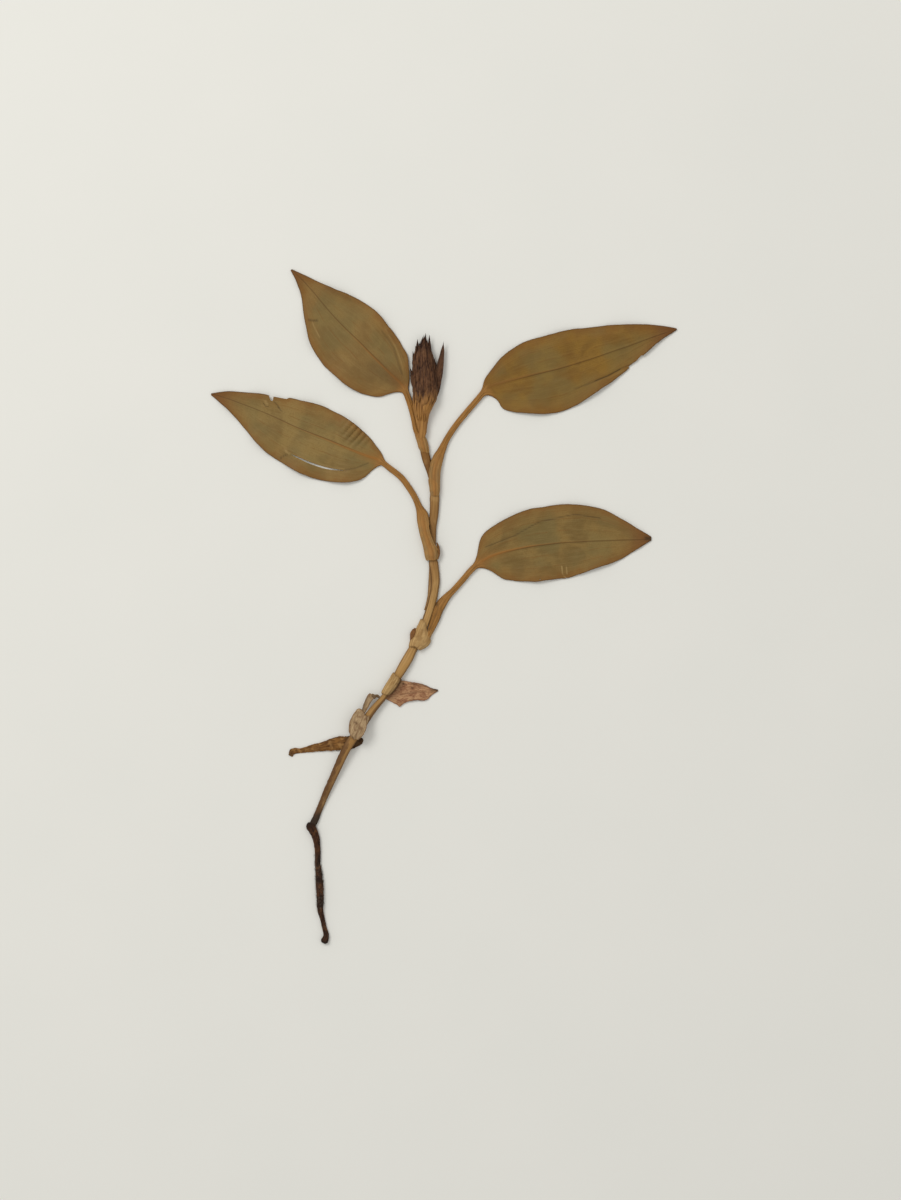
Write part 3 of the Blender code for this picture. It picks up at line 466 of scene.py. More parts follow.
# Flower head in pressed layers: each layer's height, then each bract's foot x, tip x, tip y and half width
BRACT_LAYERS = [
    (0.7, [
        (-9.9, -10.9, 92.4, 1.45), (-8.0, -8.9, 96.0, 1.7), (-6.0, -5.6, 96.6, 1.7), (-4.0, -2.9, 89.4, 1.6),
    ]),
    (1.75, [
        (-9.6, -9.7, 97.6, 1.7), (-7.5, -6.7, 99.9, 1.6), (-5.6, -5.3, 99.2, 1.4), (-4.0, -3.4, 90.6, 1.4),
    ]),
    (2.8, [
        (-9.3, -8.1, 97.8, 1.4), (-7.4, -6.9, 94.6, 1.5), (-5.8, -4.8, 93.8, 1.4), (-4.3, -4.1, 88.6, 1.3),
    ]),
    (3.6, [
        (-9.4, -9.9, 88.5, 1.2), (-8.0, -8.0, 91.4, 1.3), (-6.5, -5.9, 88.2, 1.3), (-5.0, -4.5, 85.6, 1.3),
    ]),
]
# Narrow bracts whose tips stand free: tip x, tip y and half width
FREE_TIPS = [
    (-9.0, 96.4, 0.8), (-7.8, 98.6, 0.8), (-7.3, 99.2, 0.7), (-6.1, 97.4, 0.8), (-11.4, 93.2, 0.9),
    (-10.4, 95.2, 0.9), (-4.4, 93.0, 0.8), (-3.5, 90.4, 0.8), (-12.3, 87.2, 0.9), (-8.6, 96.8, 0.9),
    (-5.7, 96.2, 0.8),
]
SCALE_ROWS = 9
HEAD_SEED = 3
BRACT_FOOT = 74.9
BRACT_KEEL = 0.4
BRACT_SKIN = 0.4
HEAD_MIDDLE = 2.2
STRAY_BRACT = [
    (-4.2, 75.2, 1.2, 1.0),
    (-3.1, 79.0, 1.7, 1.5),
    (-2.2, 83.5, 1.8, 1.5),
    (-1.2, 88.5, 1.3, 1.1),
    (-0.5, 93.0, 0.75, 0.65),
    (-0.1, 97.0, 0.3, 0.3),
]
# The head and its cup as pressed ovals up the plant: y, middle x, half width, half thickness, height
HEAD_FORM = [
    (59.6, -8.5, 0.9, 0.5, 1.2),
    (61.5, -8.2, 1.25, 0.7, 1.6),
    (63.7, -7.8, 1.45, 0.9, 1.95),
    (66.3, -8.0, 1.85, 1.05, 1.95),
    (70.0, -8.1, 2.65, 1.35, 1.95),
    (72.7, -7.7, 3.5, 1.6, 1.95),
    (75.5, -7.1, 4.25, 1.75, 2.0),
    (79.0, -6.9, 4.7, 1.85, 2.1),
    (84.0, -7.2, 4.6, 1.8, 2.1),
    (89.0, -7.5, 4.1, 1.5, 2.1),
    (94.0, -7.5, 3.1, 1.1, 2.1),
    (98.0, -7.1, 1.7, 0.7, 2.1),
]
CUP_TOP = 76.5


class Route:
    """A smooth line through stations of x, y and sizes, read at many distances at once."""

    def __init__(self, stations):
        self.table = np.array(stations, float)
        steps = np.linalg.norm(np.diff(self.table[:, :2], axis=0), axis=1)
        self.marks = np.concatenate([[0.0], np.cumsum(steps)])
        self.length = self.marks[-1]
        chords = np.diff(self.table, axis=0) / steps[:, None]
        self.slopes = np.vstack([chords[:1], (chords[1:] + chords[:-1]) / 2, chords[-1:]])
        # Sizes never swing past their stations: a turning point gets a level slope
        level = chords[1:, 2:] * chords[:-1, 2:] <= 0
        self.slopes[1:-1, 2:][level] = 0
        least = np.minimum(np.abs(chords[1:, 2:]), np.abs(chords[:-1, 2:])) * 3
        self.slopes[1:-1, 2:] = np.clip(self.slopes[1:-1, 2:], -least, least)

    def at(self, distance):
        """One row of station values for each distance."""
        distance = np.clip(np.asarray(distance, float), 0.0, self.length)
        k = np.clip(np.searchsorted(self.marks, distance, side="right") - 1, 0, len(self.marks) - 2)
        span = (self.marks[k + 1] - self.marks[k])[:, None]
        t = (distance - self.marks[k])[:, None] / span
        start, end = self.table[k], self.table[k + 1]
        rise, fall = self.slopes[k] * span, self.slopes[k + 1] * span
        return (
            start * (1 + 2 * t) * (1 - t) ** 2
            + rise * t * (1 - t) ** 2
            + end * t * t * (3 - 2 * t)
            + fall * t * t * (t - 1)
        )

    def sideways(self, distance):
        """Unit vectors in plan that point to the left of the way the route runs."""
        ahead = self.at(distance + TURN_SPAN)[:, :2] - self.at(distance - TURN_SPAN)[:, :2]
        ahead /= np.linalg.norm(ahead, axis=1, keepdims=True)
        return np.stack([-ahead[:, 1], ahead[:, 0]], axis=1)


def ease(value, low, high):
    """0 below low, 1 above high and a smooth rise between."""
    t = np.clip((np.asarray(value, float) - low) / (high - low), 0.0, 1.0)
    return t * t * (3 - 2 * t)


def hump(value, at, width):
    """A narrow smooth hump, 1 at its place."""
    return np.exp(-(((value - at) / width) ** 2))


def arch(s):
    """Height of a clasping section across its width, 1 at the middle and 0 at the edges."""
    return np.clip(np.cos(s * math.pi / 2), 0, 1) ** 0.8


def rough(x, y, z=0.0):
    """Smooth noise between about -1 and 1 for arrays of places, with features about 1 in size."""
    x, y, z = np.broadcast_arrays(np.asarray(x, float), y, z)
    values = [noise.noise(Vector(place)) for place in zip(x.ravel(), y.ravel(), z.ravel())]
    return np.array(values).reshape(x.shape)


def turns(sides):
    """Angles of the points of a ring, as one row."""
    return np.linspace(0, 2 * math.pi, sides, endpoint=False)[None, :]


def linear(colour):
    """A colour from its screen values, 0 to 255, as linear red, green, blue and 1."""
    values = np.array(colour) / 255
    return (*np.where(values <= 0.04045, values / 12.92, ((values + 0.055) / 1.055) ** 2.4), 1.0)


def place_round(route, distance, lateral, run=0.0):
    """Places in plan, a lateral length to the right of a route and a run ahead, as arrays x and y."""
    x, y = (column[:, None] for column in route.at(distance)[:, :2].T)
    left_x, left_y = (column[:, None] for column in route.sideways(distance).T)
    return x - left_x * lateral + left_y * run, y - left_y * lateral - left_x * run


def reach_of(route, distance, s):
    """How far a route's strip reaches at each distance, for negative s to its left, else to its right."""
    left, right = route.at(distance)[:, 2:].T
    return np.where(s < 0, left[:, None], right[:, None])


# Meshes


class Skin:
    """Points, faces and per-point fields of one or more closed bodies."""

    def __init__(self, points, faces, fields):
        self.points, self.faces, self.fields = points, faces, fields

    def __add__(self, other):
        shift = len(self.points)
        faces = self.faces + [[corner + shift for corner in face] for face in other.faces]
        fields = {key: np.concatenate([values, other.fields[key]]) for key, values in self.fields.items()}
        return Skin(np.vstack([self.points, other.points]), faces, fields)


def shell(top, bottom, **fields):
    """A closed thin body between two grids of points of shape (rows, columns, 3)."""
    rows, columns = top.shape[:2]
    size = rows * columns
    upper = np.arange(size).reshape(rows, columns)
    round_top = [upper[:-1, :-1], upper[:-1, 1:], upper[1:, 1:], upper[1:, :-1]]
    quads = [np.stack([corner.ravel() for corner in round_top], axis=1)]
    quads.append(quads[0][:, ::-1] + size)
    for line in (upper[0], upper[:, -1], upper[-1, ::-1], upper[::-1, 0]):
        ahead, behind = line[1:], line[:-1]
        quads.append(np.stack([ahead, behind, behind + size, ahead + size], axis=1))
    points = np.concatenate([top.reshape(-1, 3), bottom.reshape(-1, 3)])
    grids = {key: np.broadcast_to(values, (rows, columns)).ravel() for key, values in fields.items()}
    doubled = {key: np.tile(values, 2) for key, values in grids.items()}
    return Skin(points, np.concatenate(quads).tolist(), doubled)


def rod(rings, **fields):
    """A closed body round rings of points of shape (rings, sides, 3), with a point amid each end."""
    count, sides = rings.shape[:2]
    index = np.arange(count * sides).reshape(count, sides)
    turned = np.roll(index, -1, axis=1)
    around = [index[:-1], turned[:-1], turned[1:], index[1:]]
    faces = np.stack([corner.ravel() for corner in around], axis=1).tolist()
    start, end = count * sides, count * sides + 1
    faces += [[start, b, a] for a, b in zip(index[0], turned[0])]
    faces += [[end, a, b] for a, b in zip(index[-1], turned[-1])]
    points = np.concatenate([rings.reshape(-1, 3), [rings[0].mean(0), rings[-1].mean(0)]])
    filled = {}
    for key, values in fields.items():
        values = np.broadcast_to(values, (count, sides))
        filled[key] = np.concatenate([values.ravel(), [values[0].mean(), values[-1].mean()]])
    return Skin(points, faces, filled)


def make(name, skin, paint, slot, *nodes):
    """The skin as a smooth-shaded piece that stands for CAD nodes and moves with the plant."""
    mesh = bpy.data.meshes.new(name)
    mesh.from_pydata((skin.points * MM).tolist(), [], skin.faces)
    for key, values in skin.fields.items():
        mesh.attributes.new(key, "FLOAT", "POINT").data.foreach_set("value", values.astype(np.float32))
    mesh.materials.append(paint)
    mesh.shade_smooth()
    mesh.set_sharp_from_angle(angle=math.radians(SHARP_ANGLE))
    mesh.validate()
    piece = bpy.data.objects.new(name, mesh)
    bpy.context.scene.collection.objects.link(piece)
    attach(piece, "root")
    if nodes:
        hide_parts(*nodes)
    return piece


def outward(grid):
    """Unit normals of a grid whose rows run forward and whose columns run to the right, pointing up."""
    forward, right = np.gradient(grid, axis=0), np.gradient(grid, axis=1)
    normals = np.cross(right, forward)
    return normals / np.maximum(np.linalg.norm(normals, axis=2, keepdims=True), 1e-9)


def prisms(name, outlines):
    """Upright prisms over outlines in plan, as a cutter."""
    points, faces = [], []
    for outline in outlines:
        turning = sum(a[0] * b[1] - b[0] * a[1] for a, b in zip(outline, outline[1:] + outline[:1]))
        outline = outline if turning > 0 else outline[::-1]
        count = len(outline)
        bottom = list(range(len(points), len(points) + count))
        points += [(x * MM, y * MM, z * MM) for z in CUTTER_HEIGHTS for x, y in outline]
        faces += [bottom[::-1], [corner + count for corner in bottom]]
        faces += [[a, b, b + count, a + count] for a, b in zip(bottom, bottom[1:] + bottom[:1])]
    mesh = bpy.data.meshes.new(name)
    mesh.from_pydata(points, [], faces)
    return bpy.data.objects.new(name, mesh)


def cut_out(piece, outlines):
    """Takes upright prisms out of a piece. Its fields are read again from the nearest old point."""
    old = piece.data
    finder = KDTree(len(old.vertices))
    for vertex in old.vertices:
        finder.insert(vertex.co, vertex.index)
    finder.balance()
    cutter = prisms(piece.name + " cutter", outlines)
    bpy.context.scene.collection.objects.link(cutter)
    difference = piece.modifiers.new("Cut", "BOOLEAN")
    difference.operation, difference.solver, difference.object = "DIFFERENCE", "EXACT", cutter
    graph = bpy.context.evaluated_depsgraph_get()
    new = bpy.data.meshes.new_from_object(piece.evaluated_get(graph))
    piece.modifiers.clear()
    nearest = [finder.find(vertex.co)[1] for vertex in new.vertices]
    for field in list(old.attributes):
        if field.data_type == "FLOAT" and field.domain == "POINT":
            values = np.empty(len(old.vertices), np.float32)
            field.data.foreach_get("value", values)
            stale = new.attributes.get(field.name)
            if stale:
                new.attributes.remove(stale)
            new.attributes.new(field.name, "FLOAT", "POINT").data.foreach_set("value", values[nearest])
    new.shade_smooth()
    new.set_sharp_from_angle(angle=math.radians(SHARP_ANGLE))
    piece.data = new
    bpy.data.objects.remove(cutter)


def flattened(route, distance, turn, flatness, swell, rib):
    """Rings of a pressed stem or root: half width and lift from the route, and a flat underside."""
    half, lift = (column[:, None] for column in route.at(distance)[:, 2:].T)
    half = half * swell
    up = np.maximum(half * flatness / 2 * (PRESS_SINK + np.sin(turn) * rib), 0.0)
    x, y = place_round(route, distance, -half * np.cos(turn) * rib)
    return np.dstack([x, y, up + lift])


# Materials


class Paint:
    """A procedural material: a first colour, and washes of other colours over it.

    A colour is a tuple of screen values, 0 to 255, or a node's output.
    """

    def __init__(self, name, roughness, specular, colour=None):
        self.material = bpy.data.materials.new(name)
        self.material.use_nodes = True
        self.tree = self.material.node_tree
        self.shader = self.tree.nodes["Principled BSDF"]
        self.shader.inputs["Roughness"].default_value = roughness
        self.shader.inputs["Specular IOR Level"].default_value = specular
        self.colour = colour

    def add(self, kind, sockets, result=0, **settings):
        node = self.tree.nodes.new("ShaderNode" + kind)
        for key, value in settings.items():
            setattr(node, key, value)
        for key, value in sockets.items():
            self.feed(node.inputs[key], value)
        return node.outputs[result]

    def feed(self, socket, value):
        if isinstance(value, bpy.types.NodeSocket):
            self.tree.links.new(value, socket)
        else:
            socket.default_value = value

    def field(self, name):
        return self.add("Attribute", {}, "Fac", attribute_name=name)

    def place(self):
        """The place on the plant in millimetres."""
        metres = self.add("TexCoord", {}, "Object")
        return self.add("VectorMath", {0: metres, "Scale": 1 / MM}, operation="SCALE")

    def math(self, operation, *values):
        return self.add("Math", dict(enumerate(values)), operation=operation)

    def plus(self, first, second):
        return self.math("ADD", first, second)

    def times(self, *values):
        product = values[0]
        for value in values[1:]:
            product = self.math("MULTIPLY", product, value)
        return product

    def size(self, value):
        return self.math("ABSOLUTE", value)

    def band(self, value, low, high):
        """0 to 1 as the value goes from low to high, smoothly."""
        sockets = {"Value": value, "From Min": low, "From Max": high}
        return self.add("MapRange", sockets, interpolation_type="SMOOTHSTEP")

    def line(self, value, at, width):
        """1 where the value is at its place, falling to 0 a width away."""
        return self.band(self.size(self.math("SUBTRACT", value, at)), width, 0.0)

    def sine(self, value, waves):
        return self.math("SINE", self.times(value, waves))

    def noise(self, vector, scale, detail=3.0, distortion=0.0):
        sockets = {"Vector": vector, "Scale": scale, "Detail": detail, "Distortion": distortion}
        return self.add("TexNoise", sockets)

    def grain(self, detail, **scales):
        """Noise over two or three fields, each with a scale of its own."""
        scaled = [self.times(self.field(name), scale) for name, scale in scales.items()]
        return self.noise(self.add("CombineXYZ", dict(enumerate(scaled))), 1.0, detail)

    def stretched(self, place, x_scale, y_scale):
        return self.add("Mapping", {"Vector": place, "Scale": (x_scale, y_scale, 1.0)})

    def wobble(self, noise, size):
        """A noise as a length that is about 0 on average."""
        return self.times(self.math("SUBTRACT", noise, 0.5), size)

    def mix(self, factor, first, second):
        """The first colour where the factor is 0, the second where it is 1."""
        sockets = {0: factor, 6: first, 7: second}
        for key in (6, 7):
            if isinstance(sockets[key], tuple):
                sockets[key] = linear(sockets[key])
        return self.add("Mix", sockets, 2, data_type="RGBA")

    def wash(self, colour, *masks):
        """Lays a colour over what is there, as strongly as the product of the masks."""
        self.colour = self.mix(self.times(*masks), self.colour, colour)

    def steps(self, value, stops):
        """A colour ramp through (place, colour) stops."""
        node = self.tree.nodes.new("ShaderNodeValToRGB")
        elements = node.color_ramp.elements
        while len(elements) < len(stops):
            elements.new(0.5)
        for element, (place, colour) in zip(elements, stops):
            element.position, element.color = place, linear(colour)
        self.feed(node.inputs[0], value)
        return node.outputs[0]

    def done(self, height=None, distance=0.1, rough=None):
        """Closes the material: a bump of a height in millimetres and an uneven roughness."""
        self.feed(self.shader.inputs["Base Color"], self.colour)
        if height is not None:
            sockets = {"Height": height, "Distance": distance * MM, "Strength": 1.0}
            self.feed(self.shader.inputs["Normal"], self.add("Bump", sockets))
        if rough is not None:
            self.feed(self.shader.inputs["Roughness"], rough)
        return self.material


# Leaves

# Colours as red, green and blue on the screen, 0 to 255
EDGE_BROWN = (116, 76, 32)
TIP_BROWN = (116, 75, 36)
RIB_ORANGE = (146, 96, 40)
OCHRE = (158, 112, 56)
OCHRE_DARK = (98, 66, 30)
SHEATH_TAN = (160, 120, 68)
SHEATH_GREY = (138, 112, 72)


def leaf_paint(name, dark, light, pale, edge=EDGE_BROWN, tip=TIP_BROWN, rib=RIB_ORANGE):
    """Dried leaf: mottled blade, parallel veins, browner margins, orange base, ochre stalk and tan sheath."""
    p = Paint(name, 0.5, 0.18, light)
    across, margin, share, blade = (p.field(key) for key in ("across", "margin", "share", "blade"))
    place = p.place()
    fibres = p.grain(6.0, along=0.16, across=14.0)
    clouds = p.noise(place, 0.11, 4.0, 0.6)
    specks = p.noise(place, 1.9, 4.0)
    # Mottled blade
    p.wash(dark, p.band(clouds, 0.64, 0.36), 0.75)
    p.wash(pale, p.band(fibres, 0.42, 0.7), 0.28)
    p.wash(dark, p.band(specks, 0.5, 0.68), 0.34)
    p.wash(pale, p.band(p.noise(place, 4.5, 2.0), 0.52, 0.7), 0.22)
    p.wash((112, 101, 60), p.band(p.noise(place, 0.06, 2.0), 0.44, 0.6), 0.4)
    # Fine parallel veins, then the long ones
    wavy = p.plus(across, p.wobble(p.noise(place, 0.2, 2.0), 0.05))
    stripes = p.band(p.sine(wavy, FINE_VEINS), 0.35, 1.0)
    p.wash(edge, stripes, 0.09)
    outward = p.size(wavy)
    inner, outer = p.line(outward, LONG_VEINS[0], 0.018), p.line(outward, LONG_VEINS[1], 0.016)
    last = p.times(p.line(outward, 0.84, 0.014), 0.7)
    long_veins = p.math("MAXIMUM", p.math("MAXIMUM", inner, outer), last)
    p.wash(edge, long_veins, p.band(p.noise(place, 0.35, 2.0), 0.38, 0.62), 0.5)
    # Browner margins, tip and base
    uneven = p.wobble(p.noise(place, 0.3, 4.0), 5.0)
    p.wash(edge, p.band(p.plus(margin, uneven), 2.4, 0.2), 0.55)
    p.wash((136, 94, 42), p.band(p.plus(margin, uneven), 6.5, 1.0), 0.3)
    p.wash(tip, p.band(p.plus(share, p.times(uneven, 0.02)), 0.8, 1.0), 0.85)
    p.wash((78, 52, 24), p.band(margin, 0.45, 0.05), blade, 0.6)
    middle = p.size(p.field("lateral"))
    p.wash(rib, p.band(middle, 3.6, 0.0), p.band(share, 0.24, 0.0), 0.6)
    # The midrib: broad and orange at the base, then a thin dark line of painted shadow along one side of the
    # raised rib
    broad = p.math("SUBTRACT", 0.55, p.times(p.band(share, 0.0, 0.5), 0.37))
    p.wash(rib, p.band(p.math("DIVIDE", middle, broad), 1.0, 0.4), p.band(share, 0.75, 0.1), 0.65)
    # Painted shadow: a thin dark line beside the raised midrib
    p.wash((84, 56, 26), p.line(p.field("lateral"), 0.2, 0.26), p.band(share, 0.05, 0.3), 0.65)
    blade_colour = p.colour
    # Stalk
    streaks = p.grain(4.0, along=0.25, across=5.0)
    p.colour = OCHRE
    p.wash(OCHRE_DARK, p.band(streaks, 0.4, 0.7), 0.5)
    p.wash(OCHRE_DARK, p.band(p.size(across), 0.5, 0.98), 0.6)
    stalk_colour = p.colour
    # Sheath
    p.colour = SHEATH_TAN
    p.wash(SHEATH_GREY, p.band(p.noise(place, 0.45, 5.0), 0.4, 0.64), 0.6)
    p.wash((156, 104, 48), p.line(across, 0.0, 0.45), 0.6)
    p.wash((120, 86, 44), p.band(p.sine(across, SHEATH_RIBS), -0.2, 0.9), 0.22)
    p.wash((108, 76, 40), p.band(streaks, 0.55, 0.72), 0.35)
    p.wash((112, 80, 42), p.band(p.size(across), 0.75, 1.0), 0.5)
    p.colour = p.mix(p.field("held"), stalk_colour, p.colour)
    p.wash(blade_colour, p.band(blade, 0.15, 0.8))
    # Strokes: dark stain where the field is above 0, pale where it is below; on a few strokes the pale is
    # painted highlight and painted light
    stain = p.field("stain")
    p.wash((62, 46, 26), p.math("MINIMUM", stain, 1.0))
    p.wash((170, 142, 92), p.band(stain, 0.0, -1.0))
    height = p.plus(p.plus(p.times(stripes, -0.14), p.times(fibres, 0.8)), p.times(specks, 0.7))
    return p.done(height, 0.12, p.band(clouds, -0.6, 1.3))


def stroke(x, y, points, width):
    """1 on a line through the points, fading to 0 a width away from it, for arrays of places."""
    nearest = np.full(np.shape(x), 1e9)
    points = np.array(points, float)
    for start, end in zip(points[:-1], points[1:]):
        way = end - start
        t = np.clip(((x - start[0]) * way[0] + (y - start[1]) * way[1]) / (way @ way), 0, 1)
        nearest = np.minimum(nearest, np.hypot(x - start[0] - t * way[0], y - start[1] - t * way[1]))
    return np.exp(-((nearest / width) ** 2))


def strokes_field(x, y, strokes):
    """The sum of (points, width, strength) strokes at arrays of places."""
    return sum((stroke(x, y, points, width) * strength for points, width, strength in strokes), 0 * x)


def ripples(x, y, centre, radius, spacing, angle):
    """Fine folds round a centre, across the direction of the angle in degrees, 1 at most."""
    turn = math.radians(angle)
    run = (x - centre[0]) * math.cos(turn) + (y - centre[1]) * math.sin(turn)
    away = np.hypot(x - centre[0], y - centre[1]) / radius
    return np.cos(2 * math.pi * run / spacing) * np.exp(-(away ** 4))


def slit_outline(points, width):
    """The outline of a narrow split along points, widest in its middle."""
    route = Route([(x, y, 0.0) for x, y in points])
    distance = np.linspace(0, route.length, 24)
    half = width / 2 * np.sin(math.pi * distance / route.length) ** 0.6 + 0.01
    middle, side = route.at(distance)[:, :2], route.sideways(distance)
    left, right = middle + side * half[:, None], middle - side * half[:, None]
    return [tuple(place) for place in np.concatenate([left, right[::-1]]).tolist()]


def leaf_rows(route, blade_from):
    """Distances of a leaf's rows: even on the sheath and stalk, and closer at both ends of the blade."""
    blade_length = route.length - blade_from
    steps = np.linspace(0, 1, int(blade_length / BLADE_STEP))
    crowded = 0.75 * steps + 0.25 * (0.5 - 0.5 * np.cos(math.pi * steps))
    return np.concatenate([np.arange(0.0, blade_from, STALK_STEP), blade_from + blade_length * crowded])


def blade_relief(x, y, s, share, lateral, wave, seed):
    """Veins, waves along the margin and cockles of a blade, as heights in millimetres."""
    waves, wave_height, phase = wave
    shift = np.where(s < 0, MARGIN_SHIFT, 0.0)
    swell = wave_height * (0.5 + 0.5 * np.sin(2 * math.pi * waves * share + phase + shift))
    size = np.abs(s)
    veins = 0.3 * (1 - 0.6 * share) * hump(lateral, 0, 0.42)
    veins = veins + 0.07 * sum(hump(size, at, 0.03) for at in LONG_VEINS)
    veins = veins + 0.02 * np.cos(s * FINE_VEINS)
    # The noise's cells stand askew to the leaf, so that none shows
    slant_x, slant_y = x * 0.83 + y * 0.56, y * 0.83 - x * 0.56
    cockle = 0.13 * rough(slant_x / 8, slant_y / 6, seed) + 0.08 * rough(x / 3.3, y / 3.3, seed + 5)
    cockle = cockle + 0.04 * rough(slant_y / 1.5, slant_x / 1.5, seed + 3)
    return veins + swell * size ** 1.6 + 0.18 + cockle


def make_leaf(name, stations, blade_station, crown, sheath_end, wave, paint, seed,
              open_left=NEVER, open_right=NEVER, foot=(0, 0, 0, 0, 0), strokes=(), relief=None):
    """A leaf in one piece: the clasping sheath, the grooved stalk and the veined, cockled blade.

    wave is (waves along the margin, their height, phase). strokes are (points, width, stain and painted
    light, height), and relief(x, y) is more local height.
    """
    route = Route(stations)
    blade_from = route.marks[blade_station]
    distance = leaf_rows(route, blade_from)
    even = np.linspace(-1, 1, LEAF_COLUMNS)
    s = (np.sign(even) * np.abs(even) ** 1.12)[None, :]
    size = np.abs(s)
    blade = ease(distance, blade_from - 1.5, blade_from + 5.0)[:, None]
    held = 1 - ease(distance, sheath_end * 0.75, sheath_end * 1.35)[:, None]
    stalk = ease(distance, sheath_end * 0.8, sheath_end * 1.4)
    to_blade = ease(distance, blade_from - 3.0, blade_from + 3.0)
    cad_wall = SHEATH_WALL + (PETIOLE_WALL - SHEATH_WALL) * stalk
    wall = (SHEATH_SKIN + (PETIOLE_WALL - SHEATH_SKIN) * stalk) * (1 - to_blade) + BLADE_SKIN * to_blade
    lip = 1 - ease(distance, 0.0, 1.8)
    wall = wall * (1 - 0.7 * lip)
    trim = (OUTWARD_SHARE * (cad_wall * (1 - to_blade) + SHEATH_WALL * to_blade))[:, None] * (1 - blade)

    # Places in plan, with a frayed margin and a torn foot
    reach = np.maximum(reach_of(route, distance, s) - trim, LEAST_REACH)
    lateral = reach * ((1 - blade) * np.sin(s * math.pi / 2) + blade * s)
    side = np.sign(s) + 7 * seed
    fray = rough(distance[:, None] * 0.3, side) * 0.12 + rough(distance[:, None] * 1.6, side) * 0.05
    lateral = lateral + np.sign(s) * fray * size ** 8 * blade
    foot_run = np.interp(s, EDGE_PLACES, foot) + 0.4 * rough(s * 4, seed) + 0.2 * rough(s * 14, seed)
    run = foot_run * (1 - np.minimum(distance / 5.0, 1.0))[:, None] ** 2
    x, y = place_round(route, distance, lateral, run)

    # Underside heights: clasping the stem, then nearly flat
    edges = []
    for start, end in (open_left, open_right):
        on_top = ease(distance, start, start + 2.5) * (1 - ease(distance, end, end + 4.5))
        edges.append(FLOOR_CLEARANCE + (crown - FLOOR_CLEARANCE) * on_top[:, None])
    edge = np.where(s < 0, edges[0], edges[1])
    middle = STALK_HEIGHT + (crown - STALK_HEIGHT) * held
    clasp = edge + (middle - 0.28 * lip[:, None] - edge) * arch(s)
    share = np.clip((distance - blade_from) / (route.length - blade_from), 0, 1)[:, None]
    local = strokes_field(x, y, [(points, width, rise) for points, width, _, rise in strokes])
    # Dark stains, and a few pale strokes that are painted highlight and painted light
    stain = strokes_field(x, y, [(points, width, strength) for points, width, strength, _ in strokes])
    if relief is not None:
        local = local + relief(x, y)
    taper = np.minimum(np.sin(math.pi * share) ** 0.7 * 1.4, 1.0)
    flat = BLADE_HEIGHT + (blade_relief(x, y, s, share, lateral, wave, seed) + local) * taper
    under = np.dstack([x, y, clasp * (1 - blade) + np.maximum(flat, 0.05) * blade])

    ribs = 0.07 * np.cos(s * SHEATH_RIBS) * held + 0.1 * np.cos(s * 9.0) * (1 - held) * (1 - blade)
    thick = (wall[:, None] + ribs * (1 - blade)) * (1 - 0.45 * size ** 6)
    top = under + outward(under) * thick[:, :, None]
    skin = shell(top, under, along=distance[:, None], across=s, margin=(1 - size) * reach, share=share,
                 blade=blade, held=held, lateral=lateral, stain=stain)
    return make(name + "_fine", skin, paint, "leaf", name)


def make_leaves():
    first = leaf_paint("leaf a", (112, 86, 44), (134, 107, 60), (144, 119, 72))
    second = leaf_paint("leaf b", (112, 89, 47), (136, 112, 64), (146, 124, 78))
    third = leaf_paint("leaf c", (108, 77, 28), (130, 97, 38), (136, 107, 50),
                       edge=(108, 70, 28), tip=(108, 66, 30), rib=(122, 84, 36))
    fourth = leaf_paint("leaf d", (104, 82, 40), (130, 104, 56), (138, 116, 70))
    make_leaf("leaf_upper_left", LEAF_UPPER_LEFT, 8, 2.0, 5.5, (3, 0.9, 0.4), first, 1.0,
              foot=(0.5, 0.2, -0.3, -0.8, -1.3), strokes=UPPER_LEFT_STROKES,
              relief=lambda x, y: 0.2 * ripples(x, y, (-24.5, 100.0), 5.5, 2.6, 40))
    left = make_leaf("leaf_left", LEAF_LEFT, 11, 2.65, 14.0, (4, 1.1, 2.1), second, 2.0,
                     open_right=(2.5, 11.5), foot=(0.3, -0.1, -0.3, -0.1, 0.2), strokes=LEFT_STROKES,
                     relief=lambda x, y: 0.42 * ripples(x, y, (-31.6, 63.6), 5.2, 2.2, -42))
    cut_out(left, [slit_outline(SLIT, SLIT_WIDTH), NOTCH])
    upper_right = make_leaf("leaf_upper_right", LEAF_UPPER_RIGHT, 11, 2.35, 12.0, (3, 0.9, 4.0), third, 3.0,
                            open_left=(3.5, 9.5), foot=(-0.5, -0.6, -0.6, -0.6, -0.5),
                            strokes=UPPER_RIGHT_STROKES)
    cut_out(upper_right, [TORN_STEP])
    lower_right = make_leaf("leaf_lower_right", LEAF_LOWER_RIGHT, 10, 1.5, 4.0, (3, 0.8, 1.2), fourth, 4.0,
                            strokes=LOWER_RIGHT_STROKES)
    cut_out(lower_right, MARGIN_NICKS)


# Stem and roots


